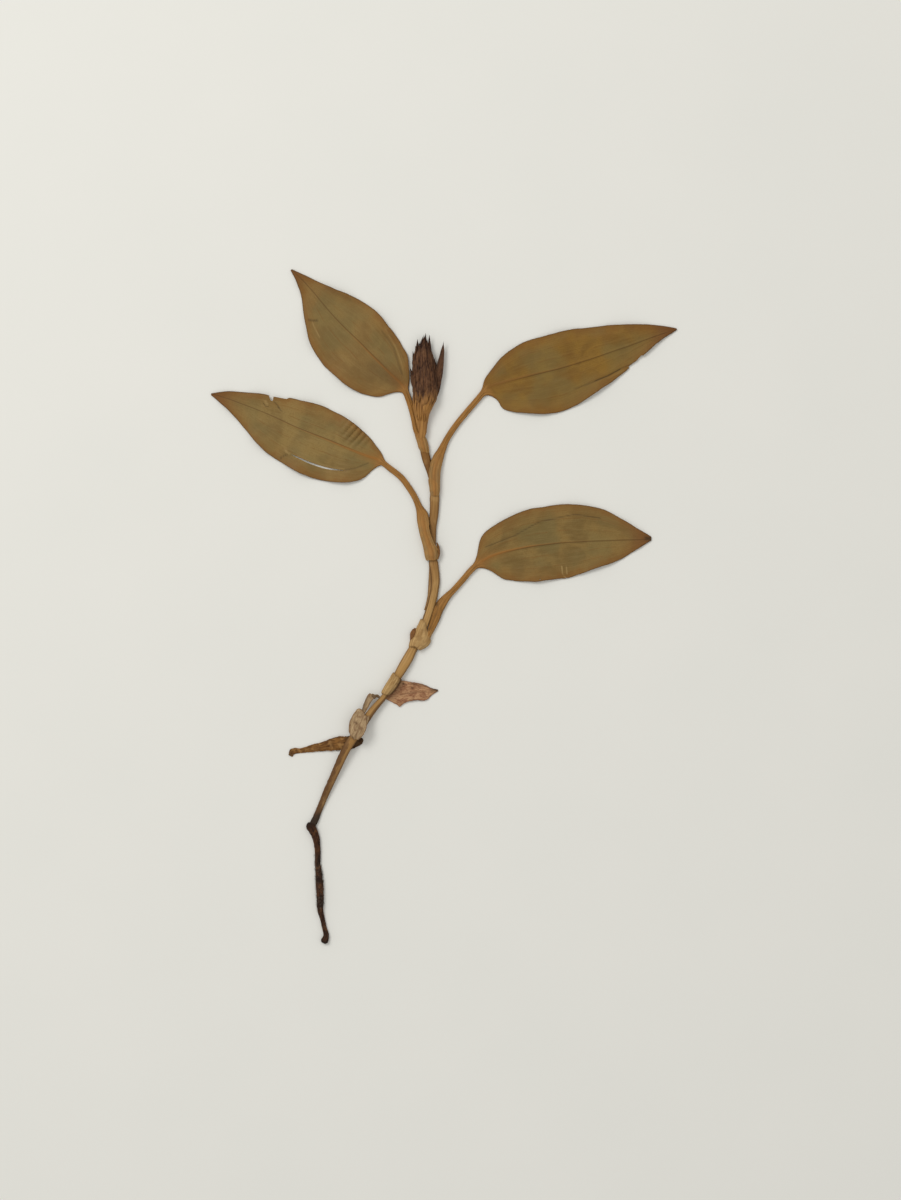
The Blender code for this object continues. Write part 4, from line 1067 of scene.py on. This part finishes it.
def stem_paint():
    """Striate ochre, browner on the flowering shaft and nearly black at the lower end."""
    p = Paint("stem", 0.55, 0.16)
    along, side = p.field("along"), p.field("side")
    fibres = p.grain(5.0, along=0.12, side=6.0, up=5.0)
    patches = p.noise(p.place(), 0.16, 3.0)
    p.colour = p.steps(p.times(along, 1 / STEM_LENGTH), STEM_COLOURS)
    p.wash((112, 76, 38), p.band(fibres, 0.46, 0.66), 0.5)
    p.wash((182, 146, 94), p.band(patches, 0.48, 0.66), 0.35)
    p.wash((92, 62, 32), p.band(p.size(side), 0.55, 0.98), 0.6)
    # Below the knuckle the left half is dark and rotten
    torn = p.wobble(p.noise(p.place(), 0.5, 4.0), 1.8)
    p.wash((88, 58, 32), p.band(along, 116.0, 124.0), p.band(p.plus(side, torn), 0.1, -0.35), 0.8)
    p.wash((92, 62, 36), p.line(side, 0.1, 0.12), p.band(along, 119.0, 124.0), 0.6)
    p.wash((46, 35, 27), p.band(p.plus(along, p.times(torn, 3.0)), 147.5, 151.5), 0.92)
    # Painted shade down the right side of the raised stretch between the lower sheath and the knuckle, and a
    # dark left edge above the collar
    painted_shade_right = p.band(side, 0.15, 0.45)
    p.wash((94, 64, 35), painted_shade_right, p.band(along, 96.0, 99.0), p.band(along, 114.0, 111.0), 0.75)
    p.wash((74, 48, 24), p.line(side, -0.8, 0.2), p.band(along, 44.0, 50.0), p.band(along, 76.0, 70.0), 0.9)
    return p.done(p.plus(p.times(fibres, 1.2), p.times(patches, 0.4)), 0.15)


def make_stem():
    route = Route(STEM)
    distance = np.linspace(0, route.length, 420)
    along = distance[:, None]
    turn = turns(48)
    joints = sum(hump(along, at, 0.9) for at in STEM_JOINTS)
    swell = 1 + 0.05 * joints + 0.025 * rough(along / 6, 0.5)
    grooves = rough(np.cos(turn) * 4 + along / 40, np.sin(turn) * 4, 3.0)
    fine = rough(np.cos(turn) * 9, np.sin(turn) * 9, along / 3)
    rib = 0.975 + 0.03 * np.cos(8 * turn) + 0.045 * grooves + 0.012 * fine
    # The left side is eaten away above the root
    eaten = ease(along, 118.0, 124.0) * ease(-np.cos(turn), 0.3, 0.9)
    rib = rib + eaten * (0.1 * rough(along / 1.3, 4.5) + 0.05 * rough(along / 0.5, 9.5))
    rings = flattened(route, distance, turn, STEM_FLATNESS, swell, rib)
    skin = rod(rings, along=along, side=np.cos(turn), up=np.sin(turn))
    make("stem_fine", skin, stem_paint(), "stem", "stem")


def hairs(draw, places):
    """Fine bent hairs that start at places of (x, y, z, heading in degrees) and sink to the surface."""
    skin = None
    t = np.linspace(0, 1, 6)
    thick = HAIR_WIDTH * (1 - 0.75 * t)
    turn = turns(4)[:, :, None]
    for x, y, z, heading in places:
        length = draw.uniform(0.35, 1.0) * HAIR_LENGTH
        bend = draw.uniform(-0.9, 0.9)
        angle = math.radians(heading) + bend * t
        middle = np.stack([
            x + np.cumsum(np.cos(angle)) * length / 6,
            y + np.cumsum(np.sin(angle)) * length / 6,
            np.maximum(z * (1 - t) + 0.08 * t, 0.06),
        ], axis=1)
        sideways = np.stack([-np.sin(angle), np.cos(angle), 0 * t], axis=1)
        around = np.cos(turn) * sideways[:, None] + np.sin(turn) * UP
        one = rod(middle[:, None] + thick[:, None, None] * around, along=0.0, side=0.0, up=0.0, hair=1.0,
                  fuzzy=0.0, ends=0.0)
        skin = one if skin is None else skin + one
    return skin


def root_paint(name, dark, middle, light, fuzz):
    """Rough bark with darker ends, and a grey fuzz over dark patches where there are root hairs."""
    p = Paint(name, 0.85, 0.1, dark)
    place = p.place()
    grain = p.grain(6.0, along=0.35, side=4.0, up=1.0)
    lumps = p.noise(place, 0.6, 5.0)
    p.wash(middle, p.band(grain, 0.35, 0.6))
    p.wash(light, p.band(lumps, 0.5, 0.68), 0.7)
    p.wash(dark, p.band(p.noise(place, 0.4, 3.0), 0.44, 0.56), p.field("fuzzy"), 0.75)
    p.wash(fuzz, p.band(p.noise(place, 2.2, 4.0), 0.52, 0.66), p.field("fuzzy"), 0.45)
    p.wash((34, 26, 22), p.field("ends"))
    p.wash((84, 74, 64), p.field("hair"))
    return p.done(p.plus(grain, lumps), 0.35)


def make_tap_root():
    route = Route(TAP_ROOT)
    distance = np.linspace(0, route.length, 200)
    along = distance[:, None]
    turn = turns(36)
    lumpy = ease(along, 24.0, 26.0) * (1 - ease(along, 31.0, 33.0))
    knobs = rough(np.cos(turn) * 1.3, np.sin(turn) * 1.3, along / 1.6)
    fine = rough(np.cos(turn) * 3.2, np.sin(turn) * 3.2, along / 0.6)
    rib = 0.98 + (0.1 + 0.14 * lumpy) * knobs + (0.07 + 0.1 * lumpy) * fine
    rings = flattened(route, distance, turn, TAP_ROOT_FLATNESS, np.ones_like(along), rib)
    fuzzy = ease(along, 11.0, 15.0) * (1 - 0.7 * ease(along, 31.0, 34.0))
    ends = np.maximum(1 - ease(along, 0.5, 3.5), ease(along, route.length - 1.5, route.length))
    skin = rod(rings, along=along, side=np.cos(turn), up=np.sin(turn), hair=0.0, fuzzy=fuzzy, ends=0.8 * ends)
    draw = random.Random(HAIR_SEED)
    places = []
    for _ in range(HAIRS):
        at = draw.triangular(11.0, 33.0, 20.0)
        x, y, half, _ = route.at([at])[0]
        left = draw.random() < 0.3
        side = route.sideways(np.array([at]))[0] * half * (0.85 if left else -0.85)
        heading = math.degrees(math.atan2(side[1], side[0])) + draw.uniform(-55, 55)
        places.append((x + side[0], y + side[1], draw.uniform(0.25, 1.3) * half * 0.8, heading))
    paint = root_paint("tap root", (34, 24, 20), (72, 46, 30), (102, 68, 42), (104, 94, 82))
    make("tap_root_fine", skin + hairs(draw, places), paint, "root", "tap_root")


def make_side_root():
    route = Route(SIDE_ROOT)
    distance = np.linspace(0, route.length, 130)
    along = distance[:, None]
    turn = turns(36)
    wrinkles = rough(np.cos(turn) * 2.6, np.sin(turn) * 2.6, along / 7)
    fine = rough(np.cos(turn) * 3.0, np.sin(turn) * 3.0, along / 0.7)
    lumps = rough(np.cos(turn) * 1.2, np.sin(turn) * 1.2, along / 2.2)
    rib = 0.98 + 0.08 * wrinkles + 0.1 * fine + 0.12 * lumps
    rings = flattened(route, distance, turn, SIDE_ROOT_FLATNESS, np.ones_like(along), rib)
    left_end = 0.5 * (1 - ease(along + 0.8 * fine, 0.6, 3.2))
    ends = np.maximum(left_end, 0.75 * ease(along, route.length - 8, route.length - 5))
    skin = rod(rings, along=along, side=np.cos(turn), up=np.sin(turn), hair=0.0, fuzzy=0.3, ends=ends)
    paint = root_paint("side root", (82, 52, 28), (132, 92, 48), (166, 126, 76), (138, 108, 70))
    make("side_root_fine", skin, paint, "side_root", "side_root")


# Papery pieces


def paper_paint(name, light, dark, ribs, vein, mottle=0.5, grit=0.3):
    """Dry paper: lengthwise ribs, streaks and blotches, browner along its torn edges."""
    p = Paint(name, 0.7, 0.12, light)
    streaks = p.grain(5.0, along=0.25, across=5.0)
    blotches = p.noise(p.place(), 0.5, 4.0)
    threads = p.grain(4.0, along=0.9, across=11.0)
    p.wash(dark, p.band(streaks, 0.4, 0.62), 0.7)
    p.wash(vein, p.band(blotches, 0.5, 0.66), mottle)
    p.wash(dark, p.band(p.sine(p.field("across"), ribs), 0.1, 0.95), 0.22)
    p.wash(vein, p.band(threads, 0.54, 0.64), grit)
    p.wash(light, p.band(threads, 0.44, 0.34), grit, 0.6)
    p.wash(vein, p.band(p.field("rim"), 0.5, 0.0), 0.7)
    p.wash((70, 48, 30), p.math("MINIMUM", p.field("stain"), 1.0))
    return p.done(p.plus(streaks, p.times(blotches, 0.6)), 0.18)


def wrap_skin(stations, crown, base, foot, mouth, ragged, ribs, seed, strokes=(), lip=0.0):
    """A torn papery sheath over the stem, crown high at its foot and mouth, its edges at a base height.

    foot and mouth are how far those two edges run along the stem at EDGE_PLACES. lip is the length in which
    the wall thins out toward the mouth.
    """
    route = Route(stations)
    distance = np.linspace(0, route.length, max(int(route.length / PAPER_STEP), 30))
    s = np.linspace(-1, 1, WRAP_COLUMNS)[None, :]
    share = (distance / route.length)[:, None]
    foot, mouth = (
        np.interp(s, EDGE_PLACES, edge) + ragged * (rough(s * 3.1, draw) + 0.3 * rough(s * 12, draw))
        for edge, draw in ((foot, seed), (mouth, seed + 9))
    )
    lateral = (reach_of(route, distance, s) - OUTWARD_SHARE * SHEATH_WALL) * np.sin(s * math.pi / 2)
    x, y = place_round(route, distance, lateral, foot * (1 - share) ** 2 + mouth * share ** 2)
    crown = np.interp(share, (0, 1), crown)
    under = np.dstack([x, y, base + (crown - base) * arch(s)])
    thick = SHEATH_SKIN + 0.05 * np.cos(s * ribs) + 0.07 * rough(x / 1.1, y / 1.1, seed)
    thick = thick * (1 - 0.45 * np.clip(np.abs(2 * share - 1), 0, 1) ** 10)
    if lip:
        thick = thick * (1 - 0.75 * ease(distance, route.length - lip, route.length))[:, None]
    top = under + outward(under) * thick[:, :, None]
    rim = np.minimum(np.minimum(share, 1 - share) * route.length, (1 - np.abs(s)) * 3)
    return shell(top, under, along=distance[:, None], across=s, rim=rim, stain=strokes_field(x, y, strokes))


def strip_skin(stations, lift, curl, crumple, seed, skin=0.42, strokes=(), point=0.0):
    """A small flat papery piece with curled margins, lying at a height. point is the length of its taper."""
    route = Route(stations)
    distance = np.linspace(0, route.length, max(int(route.length / PAPER_STEP), 16))
    s = np.linspace(-1, 1, STRIP_COLUMNS)[None, :]
    share = (distance / route.length)[:, None]
    reach = reach_of(route, distance, s)
    lateral = reach * s * (1 + 0.06 * rough(distance[:, None] * 0.9, np.sign(s) + seed) * np.abs(s) ** 4)
    if point:
        lateral = lateral * (0.04 + 0.96 * ease(route.length - distance, 0, point))[:, None]
    x, y = place_round(route, distance, lateral)
    wave = curl * np.sin(math.pi * share) * (s * s + 0.35 * np.sin(9 * share + 3 * s) * np.abs(s))
    folds = crumple * (rough(x / 1.9, y / 1.9, seed) + 0.5 * rough(x / 0.8, y / 0.8, seed) + 0.6)
    taper = np.sin(math.pi * np.clip(share, 0.04, 0.96)) ** 0.5
    under = np.dstack([x, y, lift + 0.03 + np.maximum(wave + folds * taper, 0)])
    top = under + UP * (skin * (1 - 0.5 * np.abs(s) ** 6))[:, :, None]
    return shell(top, under, along=distance[:, None], across=s, rim=(1 - np.abs(s)) * reach,
                 stain=strokes_field(x, y, strokes))


def nub_skin(stations, flatness, lift, seed, stain=0.0):
    """A small bud: a closed form along a route whose sizes are half width and lift."""
    route = Route(stations)
    distance = np.linspace(0, route.length, 24)
    turn = turns(24)
    rib = 1 + 0.2 * rough(np.cos(turn) * 2, np.sin(turn) * 2, distance[:, None] * 1.5 + seed)
    rings = flattened(route, distance, turn, flatness, np.ones((24, 1)), rib)
    rings[:, :, 2] += lift
    return rod(rings, along=distance[:, None], across=np.sin(turn), rim=1.0, stain=stain)


def make_collar():
    skin = wrap_skin(COLLAR, crown=(2.5, 1.75), base=0.25, foot=(-0.2, 0.3, 0.8, 0.6, 0.5),
                     mouth=(0.9, 1.1, 0.5, -1.6, -4.4), ragged=0.3, ribs=24, seed=1.0, lip=4.0,
                     strokes=COLLAR_STROKES)
    skin.fields["rim"] = np.maximum(skin.fields["rim"], 0.25)
    paint = paper_paint("collar", (182, 149, 99), (148, 112, 67), 24, (116, 84, 50), 0.35)
    make("collar_fine", skin, paint, "leaf", "leaf_lower_right")
    bud_paint = paper_paint("bud", (134, 92, 52), (84, 54, 32), 9, (66, 42, 26), 0.5, 0.6)
    make("collar_bud", nub_skin(COLLAR_BUD, 1.6, 0.5, 2.0), bud_paint, "leaf")


def make_lower_sheath():
    skin = wrap_skin(LOWER_SHEATH, crown=(2.7, 3.2), base=1.15, foot=(0.3, 0.2, 0.5, 1.1, 1.9),
                     mouth=(0.4, 0.2, 0.0, -0.2, -0.4), ragged=0.35, ribs=26, seed=3.0,
                     strokes=LOWER_SHEATH_STROKES)
    straw = paper_paint("sheath", (184, 152, 102), (142, 108, 64), 26, (124, 90, 52), 0.45)
    make("lower_sheath_fine", skin, straw, "sheath", "lower_sheath")


def make_knuckle_sheath():
    """The sheath, its torn tongue with the knob at its end, and two loose flaps on top."""
    skin = wrap_skin(KNUCKLE_SHEATH, crown=(4.15, 4.15), base=1.6, foot=(1.9, 1.5, 0.7, 0.0, 1.2),
                     mouth=(-1.0, -0.2, -1.4, -1.0, -1.8), ragged=0.55, ribs=40, seed=5.0,
                     strokes=KNUCKLE_STROKES)
    skin += strip_skin(TORN_TONGUE, 1.9, 0.2, 0.16, 6.0, strokes=TONGUE_STROKES)
    skin += nub_skin(TONGUE_KNOB, 1.6, 1.5, 4.0, stain=0.7)
    skin += strip_skin(LEFT_FLAP, 3.3, 0.2, 0.3, 11.0, skin=0.3)
    skin += strip_skin(RIGHT_FLAP, 4.2, 0.2, 0.3, 12.0, skin=0.3)
    grey = paper_paint("grey sheath", (178, 152, 116), (130, 104, 74), 40, (108, 76, 50), 0.6)
    make("knuckle_sheath_fine", skin, grey, "grey_sheath", "knuckle_sheath")


def make_strips():
    """The withered scale leaf, the film along the stem's edge and the left leaf's loose flap."""
    russet = paper_paint("scale leaf", (182, 142, 104), (142, 98, 68), 34, (112, 66, 46), 0.55, 0.7)
    scale = strip_skin(SCALE_LEAF, 0.0, 0.28, 0.12, 7.0, strokes=SCALE_LEAF_STROKES)
    make("scale_leaf_fine", scale, russet, "scale_leaf", "scale_leaf")
    film_paint = paper_paint("film", (172, 138, 92), (140, 104, 62), 9, (116, 80, 46), 0.3, 0.5)
    make("stem_film", strip_skin(STEM_FILM, 0.7, 0.12, 0.1, 8.0, skin=0.2), film_paint, "sheath")
    brown = paper_paint("flap", (150, 106, 60), (104, 72, 40), 12, (88, 60, 34))
    make("leaf_left_flap", strip_skin(LEAF_FLAP, 1.5, 0.3, 0.1, 9.0, skin=0.25), brown, "leaf")


# Flower head


def head_form(y):
    """Middle x, half width, half thickness and height of the head at y."""
    table = np.array(HEAD_FORM)
    return [np.interp(y, table[:, 0], column) for column in table[:, 1:].T]


def scale_skin(angles, foot_y, tip_y, half_width, lift, tint, free=0.0, rows=26):
    """A pointed bract that lies on the head, from one turn round it to another, its tip standing free."""
    u = np.linspace(0, 1, rows)[:, None]
    s = np.linspace(-1, 1, BRACT_COLUMNS)[None, :]
    y = foot_y + (tip_y - foot_y) * u + 0 * s
    middle, half, thick, height = head_form(y)
    turn = np.radians(angles[0] + (angles[1] - angles[0]) * u)
    width = half_width * np.minimum((0.3 + 1.7 * u), 1.0) * (1 - u ** 2.6) ** 0.9 + 0.02
    width = width * (1 + 0.12 * rough(u * 7, np.sign(s) * 3 + tint * 50 + foot_y))
    keel = 0.28 * (1 - np.abs(s)) * np.sin(math.pi * np.clip(u + 0.12, 0, 1)) + 0.05 * np.cos(s * 9)
    out = lift * (0.25 + 0.75 * np.sin(math.pi * np.clip(u + 0.1, 0, 1))) - 1.5 * (1 - ease(u, 0.0, 0.34))
    x = middle + (half - 0.3 + out * 0.4) * np.sin(turn) + width * s * np.maximum(np.cos(turn), 0.45)
    z = height + (thick - 0.1 + out) * np.cos(turn) - 0.35 * width * np.abs(s) * np.abs(np.sin(turn))
    z = z + free * ease(u, 0.5, 1.0) - 0.5 * s * s * (1 - ease(u, 0.2, 0.7))
    under = np.dstack([x, y, z])
    rise = (0.34 * (1 - 0.6 * np.abs(s) ** 4) * (1 - 0.45 * u) + keel)[:, :, None] + 0 * z[:, :, None]
    return shell(under + UP * rise, under, along=u, across=s, tint=tint)


def bract_skin(layer, foot, tip, half_width, tint):
    """A long pointed scale of the pressed head, keeled along its middle and finely ribbed."""
    u = np.linspace(0, 1, BRACT_ROWS)[:, None]
    s = np.linspace(-1, 1, BRACT_COLUMNS)[None, :]
    width = half_width * np.minimum(0.15 + 2.4 * u, 1.0) * (1 - u ** 3.2) ** 1.1 + 0.02
    width = width * (1 + 0.1 * rough(u * 9, np.sign(s) * 3 + tip[0] * 5))
    x = foot[0] + (tip[0] - foot[0]) * u + width * s
    y = foot[1] + (tip[1] - foot[1]) * u + 0 * s
    spread = 0.5 + 0.5 * np.sin(math.pi * np.minimum(0.15 + u, 1.0))
    keel = BRACT_KEEL * (1 - np.abs(s)) * np.sin(math.pi * np.minimum(u + 0.1, 1.0))
    ribs = 0.05 * np.cos(s * 9) + 0.06 * rough(x * 2.2, y * 0.4, tint * 9)
    under = np.dstack([x, y, HEAD_MIDDLE + (layer - HEAD_MIDDLE) * spread - BRACT_SKIN / 2 + keel + ribs])
    thick = BRACT_SKIN * (1 - 0.55 * np.abs(s) ** 4) * (1 - 0.5 * u)
    return shell(under + UP * thick[:, :, None], under, along=u, across=s, tint=tint)


def bract_paint():
    """Purple brown with darker tips and margins, paling to tan at the foot of the head."""
    p = Paint("bract", 0.65, 0.1, (58, 38, 28))
    place = p.place()
    streaks = p.noise(p.stretched(place, 1.5, 0.3), 1.0, 6.0)
    flecks = p.noise(p.stretched(place, 2.6, 0.9), 1.0, 4.0)
    p.wash((92, 62, 42), p.band(streaks, 0.34, 0.66))
    p.wash((120, 84, 56), p.field("tint"), 0.4)
    p.wash((48, 31, 26), p.band(p.field("along"), 0.6, 1.0), 0.75)
    p.wash((50, 33, 26), p.band(p.size(p.field("across")), 0.5, 1.0), 0.6)
    p.wash((126, 92, 64), p.band(flecks, 0.52, 0.68), 0.35)
    p.wash((44, 29, 23), p.band(flecks, 0.46, 0.34), 0.5)
    height_up = p.plus(p.add("SeparateXYZ", {0: place}, 1), p.wobble(streaks, -12.0))
    p.wash((150, 108, 62), p.band(height_up, 79.5, 73.0), 0.9)
    return p.done(streaks, 0.25)


def cup_paint():
    """Tan with lengthwise grooves, and dark purple streaks that come down from the bracts."""
    p = Paint("flower cup", 0.6, 0.14, (166, 121, 66))
    place = p.place()
    lengthwise = p.stretched(place, 2.2, 0.16)
    streaks = p.noise(lengthwise, 1.0, 5.0)
    p.wash((138, 97, 51), p.band(streaks, 0.36, 0.64))
    height_up = p.plus(p.add("SeparateXYZ", {0: place}, 1), p.wobble(streaks, 16.0))
    p.wash((112, 78, 54), p.band(height_up, 72.5, 79.0), 0.75)
    p.wash((104, 70, 38), p.band(p.noise(lengthwise, 2.3, 3.0), 0.55, 0.7), 0.4)
    return p.done(streaks, 0.2)


def oval_rings(y, turn, grow=1.0):
    """Rings round the head's form at heights up the plant."""
    x, half, thick, height = [values[:, None] for values in head_form(y)]
    rings = [x + half * grow * np.cos(turn), y[:, None] + 0 * turn, height + thick * grow * np.sin(turn)]
    return np.dstack(rings)[:, ::-1]


def make_bracts(draw):
    """A core, the bracts of the outline, then rows of scales from the top down, each over the last one."""
    head = rod(oval_rings(np.linspace(BRACT_FOOT, 95.0, 40), turns(32), 0.8), along=0.3, across=0.5, tint=0.1)
    for layer, bracts in BRACT_LAYERS:
        for foot_x, tip_x, tip_y, half_width in bracts:
            foot = (foot_x, BRACT_FOOT + 1.2)
            head += bract_skin(layer, foot, (tip_x, tip_y), half_width, draw.random() * 0.6)
    for tip_x, tip_y, half_width in FREE_TIPS:
        foot = (-7.2 + (tip_x + 7.2) * 0.6, tip_y - 10.0)
        head += bract_skin(draw.uniform(1.6, 3.0), foot, (tip_x, tip_y), half_width, draw.random() * 0.5)
    for row in range(SCALE_ROWS):
        level = 1 - row / (SCALE_ROWS - 1)
        for k in range(5 - row % 2):
            spot = -66 + 33 * k + 16.5 * (row % 2) + draw.uniform(-7, 7)
            foot_y = 72.0 + 13.5 * level + draw.uniform(-0.6, 0.6)
            tip_y = foot_y + draw.uniform(8.4, 10.6) * (0.95 + 0.1 * level)
            angles = (spot, spot * 0.85 + draw.uniform(-6, 6))
            half_width = draw.uniform(1.2, 1.65)
            tint = draw.random()
            head += scale_skin(angles, foot_y, tip_y, half_width, 0.3 + 0.45 * (1 - level), tint,
                               free=draw.uniform(0.1, 0.35))
    stray = strip_skin(STRAY_BRACT, 1.5, 0.3, 0.05, 4.0, skin=0.4, point=3.5)
    length = stray.fields["along"] / 23
    stray.fields = {"along": length, "across": stray.fields["across"], "tint": np.full_like(length, 0.3)}
    make("flower_bracts_fine", head + stray, bract_paint(), "bract", "flower_bracts")


def make_cup(draw):
    """The grooved cup, with pointed bases that reach up over the feet of the bracts."""
    y = np.linspace(HEAD_FORM[0][0], CUP_TOP, 64)
    turn = turns(72)
    grow = 1 + 0.035 * np.cos(9 * turn) + 0.035 * rough(np.cos(turn) * 5, np.sin(turn) * 5, y[:, None] / 8)
    grow = grow * (1 - 0.12 * ease(y, 73.5, CUP_TOP))[:, None]
    cup = rod(oval_rings(y, turn, grow), along=y[:, None], across=0.0, tint=0.0)
    for k in range(8):
        spot = -70 + 20 * k
        tip_y, half_width = draw.uniform(78.0, 81.6), draw.uniform(0.8, 1.05)
        cup += scale_skin((spot * 0.9, spot), 65.0, tip_y, half_width, 0.4, draw.random(), rows=40)
    make("flower_cup_fine", cup, cup_paint(), "flower_cup", "flower_cup")


# Stage


def make_floor():
    mesh = bpy.data.meshes.new("floor")
    size = FLOOR_HALF
    corners = [(-size, -size, 0), (size, -size, 0), (size, size, 0), (-size, size, 0)]
    mesh.from_pydata(corners, [], [(0, 1, 2, 3)])
    floor = bpy.data.objects.new("floor", mesh)
    bpy.context.scene.collection.objects.link(floor)
    p = Paint("floor", 0.9, 0.1, (226, 226, 220))
    p.wash((230, 229, 223), p.noise(p.place(), 0.02))
    mesh.materials.append(p.done())


def make_light():
    """A pale world, and a soft lamp up on the left."""
    world = bpy.data.worlds.new("studio")
    world.use_nodes = True
    background = world.node_tree.nodes["Background"]
    background.inputs["Color"].default_value = (1.0, 0.99, 0.97, 1.0)
    background.inputs["Strength"].default_value = WORLD_STRENGTH
    bpy.context.scene.world = world
    lamp = bpy.data.lights.new("softbox", "AREA")
    lamp.shape = "DISK"
    lamp.size = LAMP_WIDTH
    lamp.energy = LAMP_POWER
    lamp.color = (1.0, 0.985, 0.96)
    softbox = bpy.data.objects.new("softbox", lamp)
    softbox.location = LAMP_PLACE
    softbox.rotation_euler = (-softbox.location).to_track_quat("-Z", "Y").to_euler()
    bpy.context.scene.collection.objects.link(softbox)


def make_camera():
    lens = bpy.data.cameras.new("camera")
    lens.sensor_width = SENSOR
    lens.lens = SENSOR * CAMERA_HEIGHT / FIELD_HEIGHT
    lens.clip_start, lens.clip_end = 0.05, 20.0
    camera = bpy.data.objects.new("camera", lens)
    camera.location = (FIELD_CENTRE[0] * MM, FIELD_CENTRE[1] * MM, CAMERA_HEIGHT * MM)
    bpy.context.scene.collection.objects.link(camera)
    bpy.context.scene.camera = camera
    bpy.context.scene.view_settings.view_transform = "Standard"


make_leaves()
make_stem()
make_tap_root()
make_side_root()
make_collar()
make_lower_sheath()
make_knuckle_sheath()
make_strips()
head_draw = random.Random(HEAD_SEED)
make_bracts(head_draw)
make_cup(head_draw)
make_floor()
make_light()
make_camera()
